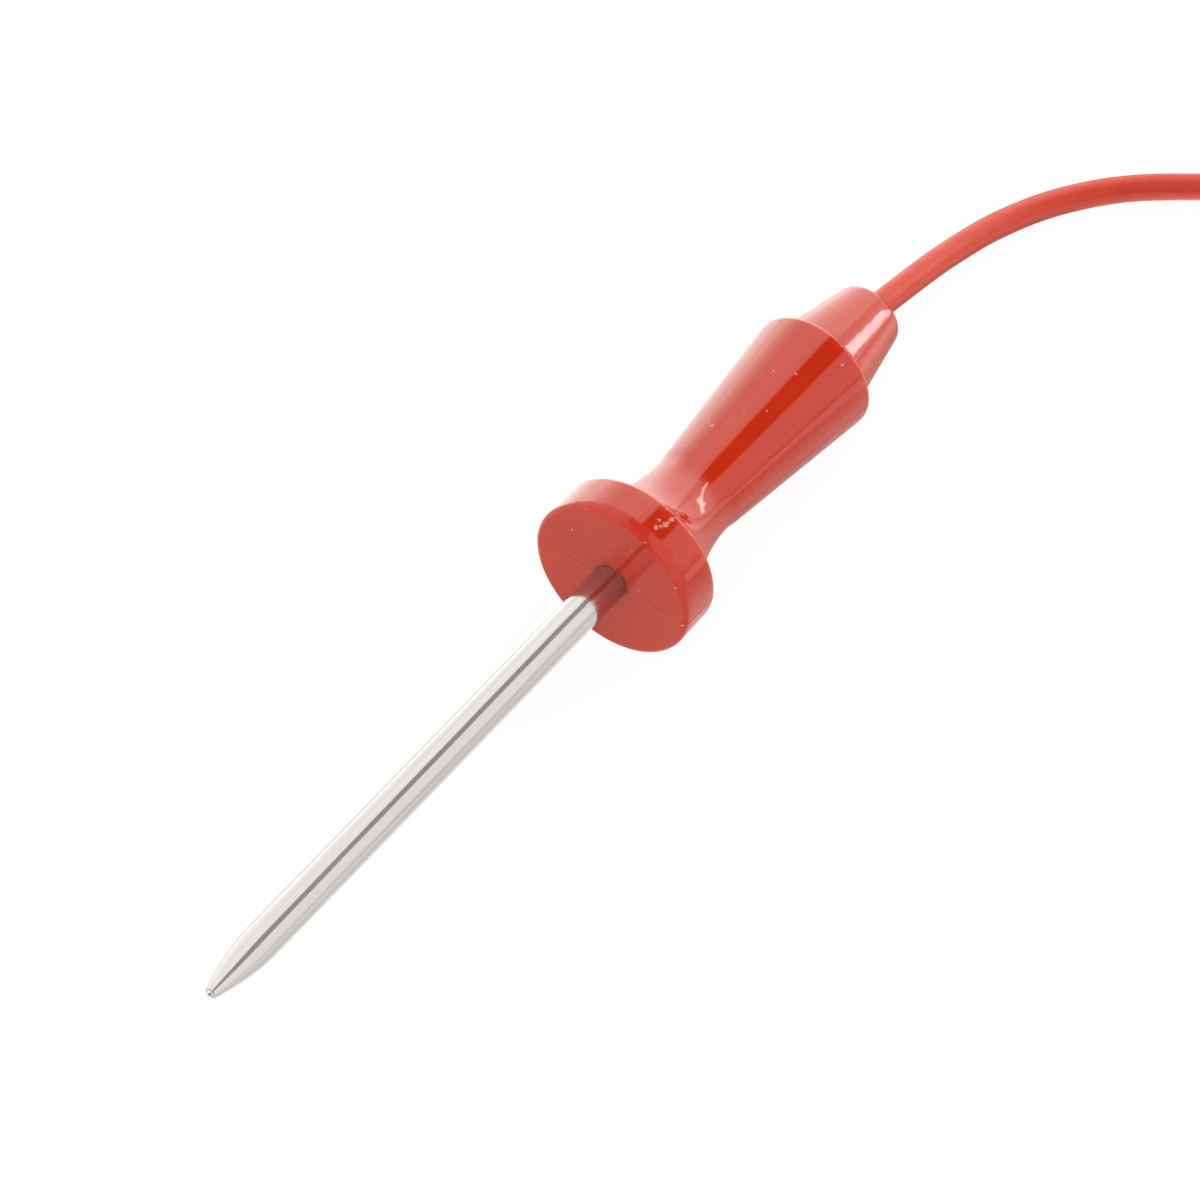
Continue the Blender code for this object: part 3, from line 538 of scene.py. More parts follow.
def make_sheath():
    profile = [(SHEATH_BORE, SHEATH_REAR), (SHEATH_RADIUS, SHEATH_REAR)]
    profile += [(SHEATH_RADIUS, z) for z in np.linspace(RINGS_FROM, TIP + TAPER_LENGTH, 60)]
    taper = TAPER_LENGTH - (TAPER_LENGTH - NUB_LENGTH) * np.linspace(0.0, 1.0, 48)[1:]
    profile += [(taper_radius(from_tip), TIP + from_tip) for from_tip in taper]
    profile += arc((0.0, TIP + NUB_RADIUS), NUB_RADIUS, -5, -90, 7)
    profile[-1] = (0.0, TIP)
    profile += [(radius, TIP + from_tip) for radius, from_tip in NOSE_HOLLOW]
    sheath = spin("sheath", profile, even_angles(SHEATH_STEPS))
    sheath.data.transform(PROBE)
    shade(sheath, 40.0)
    return sheath


# The grip's socket for the jack, and the cable's hole in its tail
SOCKET_RADIUS = 0.00350
TAIL_HOLE_RADIUS = 0.00180
TAIL_HOLE_DEPTH = 0.0080
TAIL_EDGE = 0.0003
# Grooves round the grip, from the front one back, and the shoulder behind them
GRIP_GROOVES = (0.0022, 0.0145, 0.0021)
GRIP_GROOVE_DEPTH = 0.00018
SHOULDER_TOP = 0.0122
SHOULDER = (
    (PLUG_GRIP_RADIUS, 0.0120),
    (PLUG_GRIP_RADIUS, 0.0102),
    (PLUG_NECK_RADIUS, 0.0108),
    (PLUG_NECK_RADIUS, 0.0090),
)
# Grooves round the tapered tail, from the front one back
TAIL_GROOVES = (0.0084, 0.0012, 0.0018)
TAIL_GROOVE_DEPTH = 0.0004
# The insulating ring and the contact's head
RING_BORE = 0.001425
RING_TUBE_RADIUS = 0.002125
HEAD_GAP = 0.0015
HEAD_RADIUS = 0.0031
WAIST_RADIUS = 0.0023
ROD_RADIUS = 0.0010
POINT_RADIUS = 0.0009


def grip_profile():
    grip = PLUG_GRIP_RADIUS
    profile = [(0.0, SLEEVE_REAR), (SOCKET_RADIUS, SLEEVE_REAR), (SOCKET_RADIUS, PLUG_LENGTH)]
    profile += arc((grip - PLUG_EDGE, PLUG_LENGTH - PLUG_EDGE), PLUG_EDGE, 90, 0, 6)
    from_face, last, pitch = GRIP_GROOVES
    z = PLUG_LENGTH - from_face
    bottom = grip - GRIP_GROOVE_DEPTH
    while z > last:
        profile += [(grip, z), (bottom, z - 0.00025), (bottom, z - 0.00075), (grip, z - 0.0010)]
        z -= pitch
    profile += [(grip, SHOULDER_TOP)]
    profile += bezier(*SHOULDER, 14)
    z, last, pitch = TAIL_GROOVES
    while z > last:
        r = lerp(PLUG_TAIL_RADIUS, PLUG_NECK_RADIUS, z / PLUG_TAIL_LENGTH)
        bottom = r - TAIL_GROOVE_DEPTH
        profile += [(r, z), (bottom, z - 0.0002), (bottom, z - 0.0008), (r - 0.0001, z - 0.0010)]
        z -= pitch
    profile += arc((PLUG_TAIL_RADIUS - TAIL_EDGE, TAIL_EDGE), TAIL_EDGE, 0, -90, 4)
    profile += [(TAIL_HOLE_RADIUS, 0.0), (TAIL_HOLE_RADIUS, TAIL_HOLE_DEPTH)]
    return profile + [(0.0, TAIL_HOLE_DEPTH)]


def barrel_profile():
    return [
        (SLEEVE_BORE, SLEEVE_END - 0.0001),
        (0.002525, SLEEVE_END),
        (JACK_RADIUS - 0.00015, SLEEVE_END),
        (JACK_RADIUS, SLEEVE_END - 0.00015),
        (JACK_RADIUS, PLUG_LENGTH + 0.0004),
        (JACK_RADIUS, SLEEVE_REAR),
        (SLEEVE_BORE, SLEEVE_REAR),
    ]


def ring_profile():
    return [
        (RING_BORE, SLEEVE_END + 0.0012),
        (0.00305, SLEEVE_END + 0.0012),
        (HEAD_RADIUS, SLEEVE_END + 0.00115),
        (HEAD_RADIUS, SLEEVE_END + 0.00035),
        (0.00305, SLEEVE_END + 0.0003),
        (RING_TUBE_RADIUS, SLEEVE_END + 0.0003),
        (RING_TUBE_RADIUS, SLEEVE_REAR + 0.0003),
        (RING_BORE, SLEEVE_REAR + 0.0003),
    ]


def contact_profile():
    """The tip contact: rounded point, cone, waist and head, and the rod behind them."""
    head = SLEEVE_END + HEAD_GAP
    point = PLUG_LENGTH + JACK_LENGTH
    length = point - head
    widest = (HEAD_RADIUS, head + 0.45 * length)
    waist = (WAIST_RADIUS, head + 0.28 * length)
    profile = [(0.0, point)] + arc((0.0, point - POINT_RADIUS), POINT_RADIUS, 90, 35, 5)[1:]
    profile += arc((0.00295, head + 0.52 * length), 0.00015, 40, 0, 2)
    profile += [widest]
    falling = ((0.0027, head + 0.36 * length), (WAIST_RADIUS, head + 0.34 * length))
    profile += bezier(widest, *falling, waist, 6)
    rising = ((WAIST_RADIUS, head + 0.2 * length), (0.0028, head + 0.16 * length))
    profile += bezier(waist, *rising, (HEAD_RADIUS, head + 0.10 * length), 6)
    profile += [(HEAD_RADIUS, head + 0.0001), (0.0030, head), (ROD_RADIUS, head)]
    return profile + [(ROD_RADIUS, SLEEVE_REAR + 0.0006), (0.0, SLEEVE_REAR + 0.0006)]


def make_plug():
    """The plug's four pieces, finer than the solids and with a ribbed grip."""
    angles = even_angles(PLUG_STEPS)
    pieces = (
        spin("plug_grip", grip_profile(), angles, closed=False),
        spin("plug_barrel", barrel_profile(), angles),
        spin("plug_ring", ring_profile(), angles),
        spin("plug_contact", contact_profile(), angles, closed=False),
    )
    for piece in pieces:
        piece.data.transform(PLUG)
        shade(piece)
    return pieces


# The strap's section: depth from its inside to its outside, and place across it
TIE_SECTION = (
    (0.0, -0.5), (0.25, -0.5), (0.8, -0.44), (1.0, -0.36), (1.0, -0.2), (0.86, -0.14),
    (0.86, 0.14), (1.0, 0.2), (1.0, 0.36), (0.8, 0.44), (0.25, 0.5), (0.0, 0.5),
)
TIE_LOWEST = 0.00002


def bundle_outline(growth):
    """The coil's hexagonal outline round its own middle line, rounded at its corners."""
    outline = []
    for corner in (60, 0, -60, -120, -180, -240):
        turn = math.radians(corner)
        across = 2.0 * CABLE_RADIUS * math.cos(turn)
        spot = (across, COIL_HEIGHT / 2 + 2.0 * CABLE_RADIUS * math.sin(turn))
        outline += arc(spot, CABLE_RADIUS + growth, corner + 30, corner - 30, 6)
    return outline


def make_tie():
    """A moulded strap with rounded edges, sunk into the turns and flat on the table."""
    inner = bundle_outline(-TIE_SINK)
    outer = [(r, max(z, TIE_LOWEST)) for r, z in bundle_outline(TIE_RISE)]
    shape = bmesh.new()
    rings = []
    for (r0, z0), (r1, z1) in zip(inner, outer):
        ring = []
        for depth, across in TIE_SECTION:
            spot = (lerp(r0, r1, depth), lerp(z0, z1, depth), across * TIE_WIDTH)
            ring.append(shape.verts.new(spot))
        rings.append(ring)
    count = len(TIE_SECTION)
    for a, b in zip(rings, rings[1:] + rings[:1]):
        for k in range(count):
            n = (k + 1) % count
            shape.faces.new((a[k], b[k], b[n], a[n]))
    tie = to_object("tie", shape)
    turn = math.radians(TIE_ANGLE)
    place = Vector((
        COIL_CENTRE[0] + COIL_RADIUS * math.cos(turn),
        COIL_CENTRE[1] + COIL_RADIUS * math.sin(turn),
        0.0,
    ))
    upright = Matrix.Rotation(math.radians(90.0), 4, "X")
    tie.data.transform(Matrix.Translation(place) @ Matrix.Rotation(turn, 4, "Z") @ upright)
    shade(tie, 50.0)
    return tie


# Materials


class Nodes:
    """Short names for building one material."""

    def __init__(self, name, axes=None):
        self.material = bpy.data.materials.new(name)
        self.material.use_nodes = True
        self.tree = self.material.node_tree
        self.shader = self.tree.nodes["Principled BSDF"]
        self.place = self.add("ShaderNodeTexCoord").outputs["Object"]
        if axes is not None:
            back = axes.inverted()
            turn = self.add("ShaderNodeMapping")
            turn.inputs["Location"].default_value = back.to_translation()
            turn.inputs["Rotation"].default_value = back.to_euler("XYZ")
            self.join(self.place, turn.inputs["Vector"])
            self.place = turn.outputs["Vector"]

    def add(self, kind, **values):
        node = self.tree.nodes.new(kind)
        for key, value in values.items():
            setattr(node, key, value)
        return node

    def join(self, source, target):
        self.tree.links.new(source, target)

    def noise(self, scale, detail=2.0, stretch=None, rough=0.5):
        source = self.place
        if stretch:
            mapping = self.add("ShaderNodeMapping")
            mapping.inputs["Scale"].default_value = stretch
            self.join(self.place, mapping.inputs["Vector"])
            source = mapping.outputs["Vector"]
        node = self.add("ShaderNodeTexNoise")
        node.inputs["Scale"].default_value = scale
        node.inputs["Detail"].default_value = detail
        node.inputs["Roughness"].default_value = rough
        self.join(source, node.inputs["Vector"])
        return node.outputs["Fac"]

    def remap(self, source, low, high, to_low, to_high):
        node = self.add("ShaderNodeMapRange")
        ends = {"From Min": low, "From Max": high, "To Min": to_low, "To Max": to_high}
        for key, value in ends.items():
            node.inputs[key].default_value = value
        self.join(source, node.inputs["Value"])
        return node.outputs["Result"]

    def sum(self, first, second, operation="ADD"):
        node = self.add("ShaderNodeMath", operation=operation)
        for socket, source in zip(node.inputs, (first, second)):
            if isinstance(source, (int, float)):
                socket.default_value = source
            else:
                self.join(source, socket)
        return node.outputs["Value"]

    def mix(self, factor, first, second):
        node = self.add("ShaderNodeMix", data_type="RGBA")
        for at, source in ((0, factor), (6, first), (7, second)):
            socket = node.inputs[at]
            if isinstance(source, tuple):
                socket.default_value = (*source, 1.0)
            elif isinstance(source, (int, float)):
                socket.default_value = source
            else:
                self.join(source, socket)
        return node.outputs[2]

    def bump(self, height, distance, before=None):
        node = self.add("ShaderNodeBump")
        node.inputs["Distance"].default_value = distance
        self.join(height, node.inputs["Height"])
        if before is not None:
            self.join(before, node.inputs["Normal"])
        return node.outputs["Normal"]

    def set(self, **values):
        for key, value in values.items():
            socket = self.shader.inputs[key.replace("_", " ")]
            if isinstance(value, bpy.types.NodeSocket):
                self.join(value, socket)
            elif isinstance(value, tuple):
                socket.default_value = (*value, 1.0)
            else:
                socket.default_value = value
        return self.material


# Colours of the silicone, and of the dust and the painted highlights on it
SILICONE_DEEP = (0.68, 0.030, 0.003)
SILICONE_PALE = (0.72, 0.036, 0.004)
DUST_AND_HIGHLIGHT_COLOUR = (0.90, 0.55, 0.45)

# How far noise moves a speck's outline, which makes it ragged
SPECK_DRIFT = 0.0008

# Dust and painted highlights on the handle: place in the probe's own axes, and size. The second
# to sixth rows, a ragged run along the front rim, and the twelfth row are painted highlights; the
# others are dust.
DUST_AND_HIGHLIGHTS = (
    (-0.01080, -0.00344, 0.00380, 0.00035),
    # Painted highlights: the next five rows, a ragged run of pale specks on the front rim
    (-0.01038, -0.00450, 0.00514, 0.00048),
    (-0.01043, -0.00442, 0.00450, 0.00040),
    (-0.01047, -0.00434, 0.00390, 0.00054),
    (-0.01057, -0.00414, 0.00332, 0.00036),
    (-0.01070, -0.00382, 0.00270, 0.00050),
    (-0.00611, 0.00231, 0.02432, 0.00042),
    (-0.00584, 0.00299, 0.02469, 0.00024),
    (-0.00563, -0.00909, 0.00000, 0.00030),
    (-0.00503, 0.00635, 0.00000, 0.00028),
    (-0.00674, -0.00489, 0.04246, 0.00035),
    # A painted highlight dot
    (-0.01083, -0.00320, 0.00586, 0.00020),
    (-0.01006, 0.00492, 0.00021, 0.00025),
    (0.00033, -0.01082, 0.00001, 0.00022),
    (-0.00744, -0.00243, 0.00000, 0.00020),
    (-0.00133, -0.00417, 0.00000, 0.00020),
    (-0.01040, -0.00407, 0.00018, 0.00020),
    (-0.01003, 0.00528, 0.00414, 0.00022),
    (-0.00758, 0.00098, 0.03555, 0.00026),
    (-0.00761, -0.00154, 0.03675, 0.00026),
    (-0.00688, 0.00002, 0.02790, 0.00022),
    (-0.00678, -0.00206, 0.02996, 0.00022),
)
BOOT_DUST = ((-0.0046, -0.0019, 0.0560, 0.0003),)


def scattered_dust(n):
    """Small pale flecks in a few of the cells that fill the space, at half strength."""
    cells = n.add("ShaderNodeTexVoronoi")
    cells.inputs["Scale"].default_value = 260.0
    n.join(n.place, cells.inputs["Vector"])
    gate = n.remap(cells.outputs["Color"], 0.90, 0.92, 0.0, 1.0)
    dot = n.remap(cells.outputs["Distance"], 0.015, 0.030, 1.0, 0.0)
    return n.sum(n.sum(dot, gate, "MULTIPLY"), 0.5, "MULTIPLY")


def placed_dust_and_highlights(n, dust_and_highlight_mask, specks):
    """Ragged specks at given places, dust and painted highlights, joined to the flecks that are
    there.
    """
    ragged = n.add("ShaderNodeTexNoise")
    ragged.inputs["Scale"].default_value = 1800.0
    ragged.inputs["Detail"].default_value = 3.0
    n.join(n.place, ragged.inputs["Vector"])
    drift = n.add("ShaderNodeVectorMath", operation="MULTIPLY_ADD")
    drift.inputs[1].default_value = (SPECK_DRIFT, SPECK_DRIFT, SPECK_DRIFT)
    n.join(ragged.outputs["Color"], drift.inputs[0])
    n.join(n.place, drift.inputs[2])
    for x, y, z, size in specks:
        reach = n.add("ShaderNodeVectorMath", operation="DISTANCE")
        reach.inputs[1].default_value = [v + 0.5 * SPECK_DRIFT for v in (x, y, z)]
        n.join(drift.outputs["Vector"], reach.inputs[0])
        spot = n.remap(reach.outputs["Value"], 0.4 * size, 0.8 * size, 0.75, 0.0)
        dust_and_highlight_mask = n.sum(dust_and_highlight_mask, spot, "MAXIMUM")
    return dust_and_highlight_mask


def silicone(name, specks):
    """Glossy, slightly translucent silicone with faint waviness, dust and painted highlights."""
    n = Nodes(name, PROBE)
    mottle = n.remap(n.noise(90.0, 3.0), 0.35, 0.70, 0.0, 1.0)
    colour = n.mix(mottle, SILICONE_DEEP, SILICONE_PALE)
    # Pale dust and painted highlights laid over the silicone's colour
    colour = n.mix(placed_dust_and_highlights(n, scattered_dust(n), specks), colour, DUST_AND_HIGHLIGHT_COLOUR)
    rough = n.remap(n.noise(420.0, 4.0), 0.3, 0.7, 0.025, 0.075)
    wave = n.bump(n.noise(160.0, 2.0), 0.000022)
    fine = n.bump(n.noise(2600.0, 2.0), 0.0000012, before=wave)
    return n.set(
        Base_Color=colour,
        Roughness=rough,
        Specular_IOR_Level=0.5,
        Subsurface_Weight=1.0,
        Subsurface_Radius=Vector((1.0, 0.18, 0.08)),
        Subsurface_Scale=0.0018,
        Normal=fine,
    )


def cable_rubber():
    n = Nodes("cable_silicone")
    mottle = n.remap(n.noise(260.0, 3.0), 0.3, 0.7, 0.0, 1.0)
    colour = n.mix(mottle, (0.68, 0.045, 0.018), (0.73, 0.058, 0.024))
    fine = n.bump(n.noise(1800.0, 3.0), 0.000004)
    rough = n.remap(n.noise(500.0, 3.0), 0.3, 0.7, 0.36, 0.46)
    return n.set(Base_Color=colour, Roughness=rough, Specular_IOR_Level=0.5, Normal=fine)


def steel():
    """Drawn and polished tube with fine lengthwise lines, with painted shade where it meets the
    silicone.
    """
    n = Nodes("sheath_steel", PROBE)
    lines = n.noise(900.0, 4.0, stretch=(1.0, 1.0, 0.012), rough=0.7)
    broad = n.noise(260.0, 2.0, stretch=(1.0, 1.0, 0.02))
    hair = n.noise(14000.0, 2.0, stretch=(1.0, 1.0, 0.008))
    streaks = n.remap(lines, 0.35, 0.65, 0.0, 1.0)
    colour = n.mix(streaks, (0.585, 0.58, 0.60), (0.64, 0.635, 0.655))
    split = n.add("ShaderNodeSeparateXYZ")
    n.join(n.place, split.inputs[0])
    # Painted shade: the base colour darkens towards the handle's front face, and the roughness
    # rises there too
    painted_shade_near_face = n.remap(split.outputs["Z"], -0.0046, -0.0004, 0.0, 0.35)
    colour = n.mix(painted_shade_near_face, colour, (0.20, 0.17, 0.16))
    fine = n.bump(lines, 0.0000012, before=n.bump(broad, 0.000004))
    polish = n.remap(hair, 0.40, 0.70, 0.06, 0.20)
    rough = n.sum(polish, n.sum(painted_shade_near_face, 0.45, "MULTIPLY"))
    return n.set(Base_Color=colour, Metallic=1.0, Roughness=rough, Normal=fine)


def plated():
    """Bright nickel with faint turning marks round the plug."""
    n = Nodes("plug_nickel", PLUG)
    lines = n.noise(700.0, 3.0, stretch=(0.05, 0.05, 4.0))
    colour = n.mix(n.remap(lines, 0.3, 0.7, 0.0, 1.0), (0.72, 0.70, 0.66), (0.80, 0.78, 0.74))
    rough = n.remap(n.noise(300.0, 4.0), 0.3, 0.7, 0.14, 0.26)
    return n.set(Base_Color=colour, Metallic=1.0, Roughness=rough, Normal=n.bump(lines, 0.000004))


GRAIN_SCALE = 600.0
GRAIN_DEPTH = 0.000008
GRAIN_ROUGHNESS = 0.06


def plain(name, dark, light, roughness, metallic=0.0):
    """A moulded, drawn or cast surface: mottled colour, uneven roughness and a fine grain."""
    n = Nodes(name)
    grain = n.noise(GRAIN_SCALE, 4.0)
    mottle = n.remap(n.noise(GRAIN_SCALE * 0.3, 3.0), 0.3, 0.7, 0.0, 1.0)
    rough = n.remap(grain, 0.3, 0.7, roughness - GRAIN_ROUGHNESS, roughness + GRAIN_ROUGHNESS)
    return n.set(
        Base_Color=n.mix(mottle, dark, light),
        Metallic=metallic,
        Roughness=rough,
        Normal=n.bump(grain, GRAIN_DEPTH),
    )


def dress(obj, material):
    obj.data.materials.clear()
    obj.data.materials.append(material)


def dress_node(name, material):
    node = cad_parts[name]
    for slot in node.material_slots:
        slot.link = "OBJECT"
        slot.material = material


# Studio


def glow(name, strength):
    material = bpy.data.materials.new(name)
    material.use_nodes = True
    nodes = material.node_tree.nodes
    nodes.clear()
    emission = nodes.new("ShaderNodeEmission")
    emission.inputs["Color"].default_value = (1.0, 1.0, 1.0, 1.0)
    emission.inputs["Strength"].default_value = strength
    output = nodes.new("ShaderNodeOutputMaterial")
    material.node_tree.links.new(emission.outputs[0], output.inputs["Surface"])
    return material


def stage_only(name, mesh):
    """A studio panel that only reflections see."""
    obj = bpy.data.objects.new(name, mesh)
    bpy.context.collection.objects.link(obj)
    obj.visible_camera = False
    obj.visible_diffuse = False
    obj.visible_shadow = False
    obj.visible_transmission = False
    obj.visible_volume_scatter = False


def card(name, x, corners, strength):
    """A glowing panel square to x, with its corners in y and z."""
    mesh = bpy.data.meshes.new(name)
    mesh.from_pydata([(x, y, z) for y, z in corners], [], [(0, 1, 2, 3)])
    mesh.materials.append(glow(name, strength))
    stage_only(name, mesh)


def lamp(name, place, target, size, power):
    data = bpy.data.lights.new(name, "AREA")
    data.shape = "RECTANGLE"
    data.size, data.size_y = size
    data.energy = power
    obj = bpy.data.objects.new(name, data)
    obj.location = place
    obj.rotation_euler = (Vector(target) - Vector(place)).to_track_quat("-Z", "Y").to_euler()
    obj.visible_glossy = False
    bpy.context.collection.objects.link(obj)


def ramp(tree, source, stops, top):
    """Light levels at places from 0 to 1, as a ramp that is scaled up to the highest."""
    node = tree.nodes.new("ShaderNodeValToRGB")
    elements = node.color_ramp.elements
    elements.remove(elements[1])
    for k, (place, level) in enumerate(stops):
        element = elements[0] if k == 0 else elements.new(place)
        element.position = place
        element.color = (level / top,) * 3 + (1.0,)
    tree.links.new(source, node.inputs["Fac"])
    return node.outputs["Color"]


def spread(tree, source, low, high):
    node = tree.nodes.new("ShaderNodeMapRange")
    node.inputs["From Min"].default_value = low
    node.inputs["From Max"].default_value = high
    tree.links.new(source, node.inputs["Value"])
    return node.outputs["Result"]


def either(tree, first, second):
    node = tree.nodes.new("ShaderNodeMath")
    node.operation = "MAXIMUM"
    tree.links.new(first, node.inputs[0])
    tree.links.new(second, node.inputs[1])
    return node.outputs[0]


def mixed(tree, factor, first, second):
    node = tree.nodes.new("ShaderNodeMix")
    node.data_type = "RGBA"
    tree.links.new(factor, node.inputs[0])
    for socket, source in ((node.inputs[6], first), (node.inputs[7], second)):
        if isinstance(source, tuple):
            socket.default_value = (*source, 1.0)
        else:
            tree.links.new(source, socket)
    return node.outputs[2]


# The highest level that a ramp holds, and the studio's slightly warm white
TOP = 5.0
WARM = (1.0, 0.965, 0.885)
# Light round the probe's length, from its left horizon (0) over the top to its right one (1)
ROUND_BANKS = (
    (0.000, 3.7), (0.058, 3.3), (0.115, 2.75), (0.144, 2.6), (0.205, 2.15), (0.250, 2.1),
    (0.318, 2.4), (0.390, 2.4), (0.460, 2.2), (0.495, 2.0), (0.512, 0.14), (0.690, 0.14),
    (0.705, 1.5), (0.940, 1.5), (0.975, 1.1), (1.000, 0.7),
)
# The same for what the probe's far end mirrors, beyond the cable
END_BANKS = (
    (0.000, 3.3), (0.080, 3.1), (0.240, 3.1), (0.480, 3.3), (0.530, 2.9), (0.560, 2.0),
    (0.640, 2.2), (0.700, 2.8), (0.950, 2.6), (1.000, 2.8),
)
# The same for the tent beside the sheath
TENT_BANKS = (
    (0.000, 1.47), (0.040, 1.42), (0.115, 1.35), (0.205, 1.25), (0.300, 1.36), (0.390, 1.33),
    (0.448, 1.30), (0.458, 0.42), (0.600, 0.42), (0.612, 1.22), (0.770, 1.22), (0.855, 1.20),
    (0.935, 1.00), (0.950, 0.75), (1.000, 0.85),
)
# Light that the table sends back, from 150 mm right to 150 mm left of the probe
TABLE = (
    (0.000, 0.66), (0.180, 0.68), (0.348, 1.05), (0.419, 1.24), (0.446, 1.22), (0.459, 0.90),
    (0.475, 0.60), (0.500, 0.60), (0.533, 0.95), (0.556, 1.6), (0.584, 2.35), (0.644, 3.0),
    (0.815, 3.3), (1.000, 3.15),
)
# The same beside the boot, and beside the sheath
TABLE_BY_BOOT = (
    (0.000, 1.8), (0.180, 1.7), (0.348, 2.3), (0.400, 2.7), (0.430, 2.6), (0.459, 1.6),
    (0.475, 0.60), (0.500, 0.60), (0.533, 1.4), (0.556, 2.5), (0.584, 3.1), (0.644, 3.4),
    (0.815, 3.3), (1.000, 3.3),
)
TABLE_BY_SHEATH = (
    (0.000, 1.05), (0.370, 1.05), (0.420, 0.90), (0.461, 0.95), (0.476, 1.12), (0.500, 1.02),
    (0.560, 1.05), (0.620, 1.40), (1.000, 1.47),
)
# World levels: what lights the object, and what camera and clear materials see
WORLD_LIGHT = 0.42
WORLD_SEEN = 1.0
BEHIND = (0.02, 0.02, 0.02)
# Share of the way along x at which the far end's banks take over, and the dark behind starts
END_FROM, END_FULL = 0.68, 0.78
BEHIND_FULL, BEHIND_FROM = -0.45, -0.15

# The tent's radius and ends in the probe's axes, and how its banks lean along it
TENT_RADIUS = 0.050
TENT_FRONT = -0.140
TENT_BACK = 0.0297
TENT_SLANT = 0.95
TENT_SLANT_START = TENT_SLANT * 0.018

# The floor: half its width, its place just under the part, and what the camera sees of it
FLOOR_HALF = 4.0
FLOOR_HEIGHT = -0.00002
FLOOR_COLOUR = (0.86, 0.86, 0.86)
FLOOR_SEEN = 1.05
FLOOR_SEEN_SHARE = 0.90
TABLE_REACH = 0.15
# Where along x the table's light beside the sheath ends, and the one beside the boot starts
SHEATH_PART = (0.012, 0.028)
BOOT_PART = (0.070, 0.088)

# Cards in y and z: a thin bent tube far along the cable, with one small lamp in front of it
TUBE_X = 1.67
TUBE_PATH = ((-0.74, 1.50), (-0.70, 1.15), (-0.78, 0.74), (-0.91, 0.32), (-0.98, 0.08))
TUBE_HALF = 0.08
TUBE_STRENGTH = 8.0
LAMP_X = 1.66
LAMP_CORNERS = ((-0.58, 0.70), (-0.70, 0.86), (-1.06, 0.44), (-0.94, 0.28))
LAMP_STRENGTH = 11.0
# Area lights: name, place, x of the aim on the table, size and power
LIGHTS = (
    ("bank_cable_side", (1.25, -0.30, 0.90), 0.03, (1.3, 1.0), 10.0),
    ("bank_over_camera", (-0.80, -0.32, 1.36), 0.03, (1.2, 1.0), 6.8),
    ("fill_front", (-1.2, 0.5, 0.5), 0.01, (0.9, 0.7), 1.5),
)
def warmed(tree, level):
    tint = tree.nodes.new("ShaderNodeMix")
    tint.data_type = "RGBA"
    tint.blend_type = "MULTIPLY"
    tint.inputs[0].default_value = 1.0
    tree.links.new(level, tint.inputs[6])
    tint.inputs[7].default_value = (*WARM, 1.0)
    return tint.outputs[2]


def turn_share(tree, up, left):
    """Angle round the probe's length, as a share of half a turn from its left horizon."""
    turn = tree.nodes.new("ShaderNodeMath")
    turn.operation = "ARCTAN2"
    tree.links.new(up, turn.inputs[0])
    tree.links.new(left, turn.inputs[1])
    return spread(tree, turn.outputs[0], 0.0, math.pi)


def make_tent():
    """A translucent tent close round the sheath, which only reflections see."""
    shape = bmesh.new()
    rings = []
    for turn in np.radians(np.linspace(0.0, 180.0, 73)):
        x, y = -TENT_RADIUS * math.sin(turn), TENT_RADIUS * math.cos(turn)
        rings.append([shape.verts.new((x, y, z)) for z in (TENT_FRONT, TENT_BACK)])
    for a, b in zip(rings, rings[1:]):
        shape.faces.new((a[0], a[1], b[1], b[0]))
    mesh = bpy.data.meshes.new("tent")
    shape.to_mesh(mesh)
    shape.free()
    mesh.transform(PROBE)
    n = Nodes("tent_cloth", PROBE)
    split = n.add("ShaderNodeSeparateXYZ")
    n.join(n.place, split.inputs[0])
    up = n.sum(split.outputs["X"], -1.0, "MULTIPLY")
    share = turn_share(n.tree, up, split.outputs["Y"])
    share = n.sum(share, n.sum(split.outputs["Z"], TENT_SLANT, "MULTIPLY"))
    share = n.sum(share, TENT_SLANT_START, "SUBTRACT")
    emission = n.add("ShaderNodeEmission")
    emission.inputs["Strength"].default_value = TOP
    n.join(warmed(n.tree, ramp(n.tree, share, TENT_BANKS, TOP)), emission.inputs["Color"])
    n.join(emission.outputs[0], n.tree.nodes["Material Output"].inputs["Surface"])
    mesh.materials.append(n.material)
    stage_only("tent", mesh)


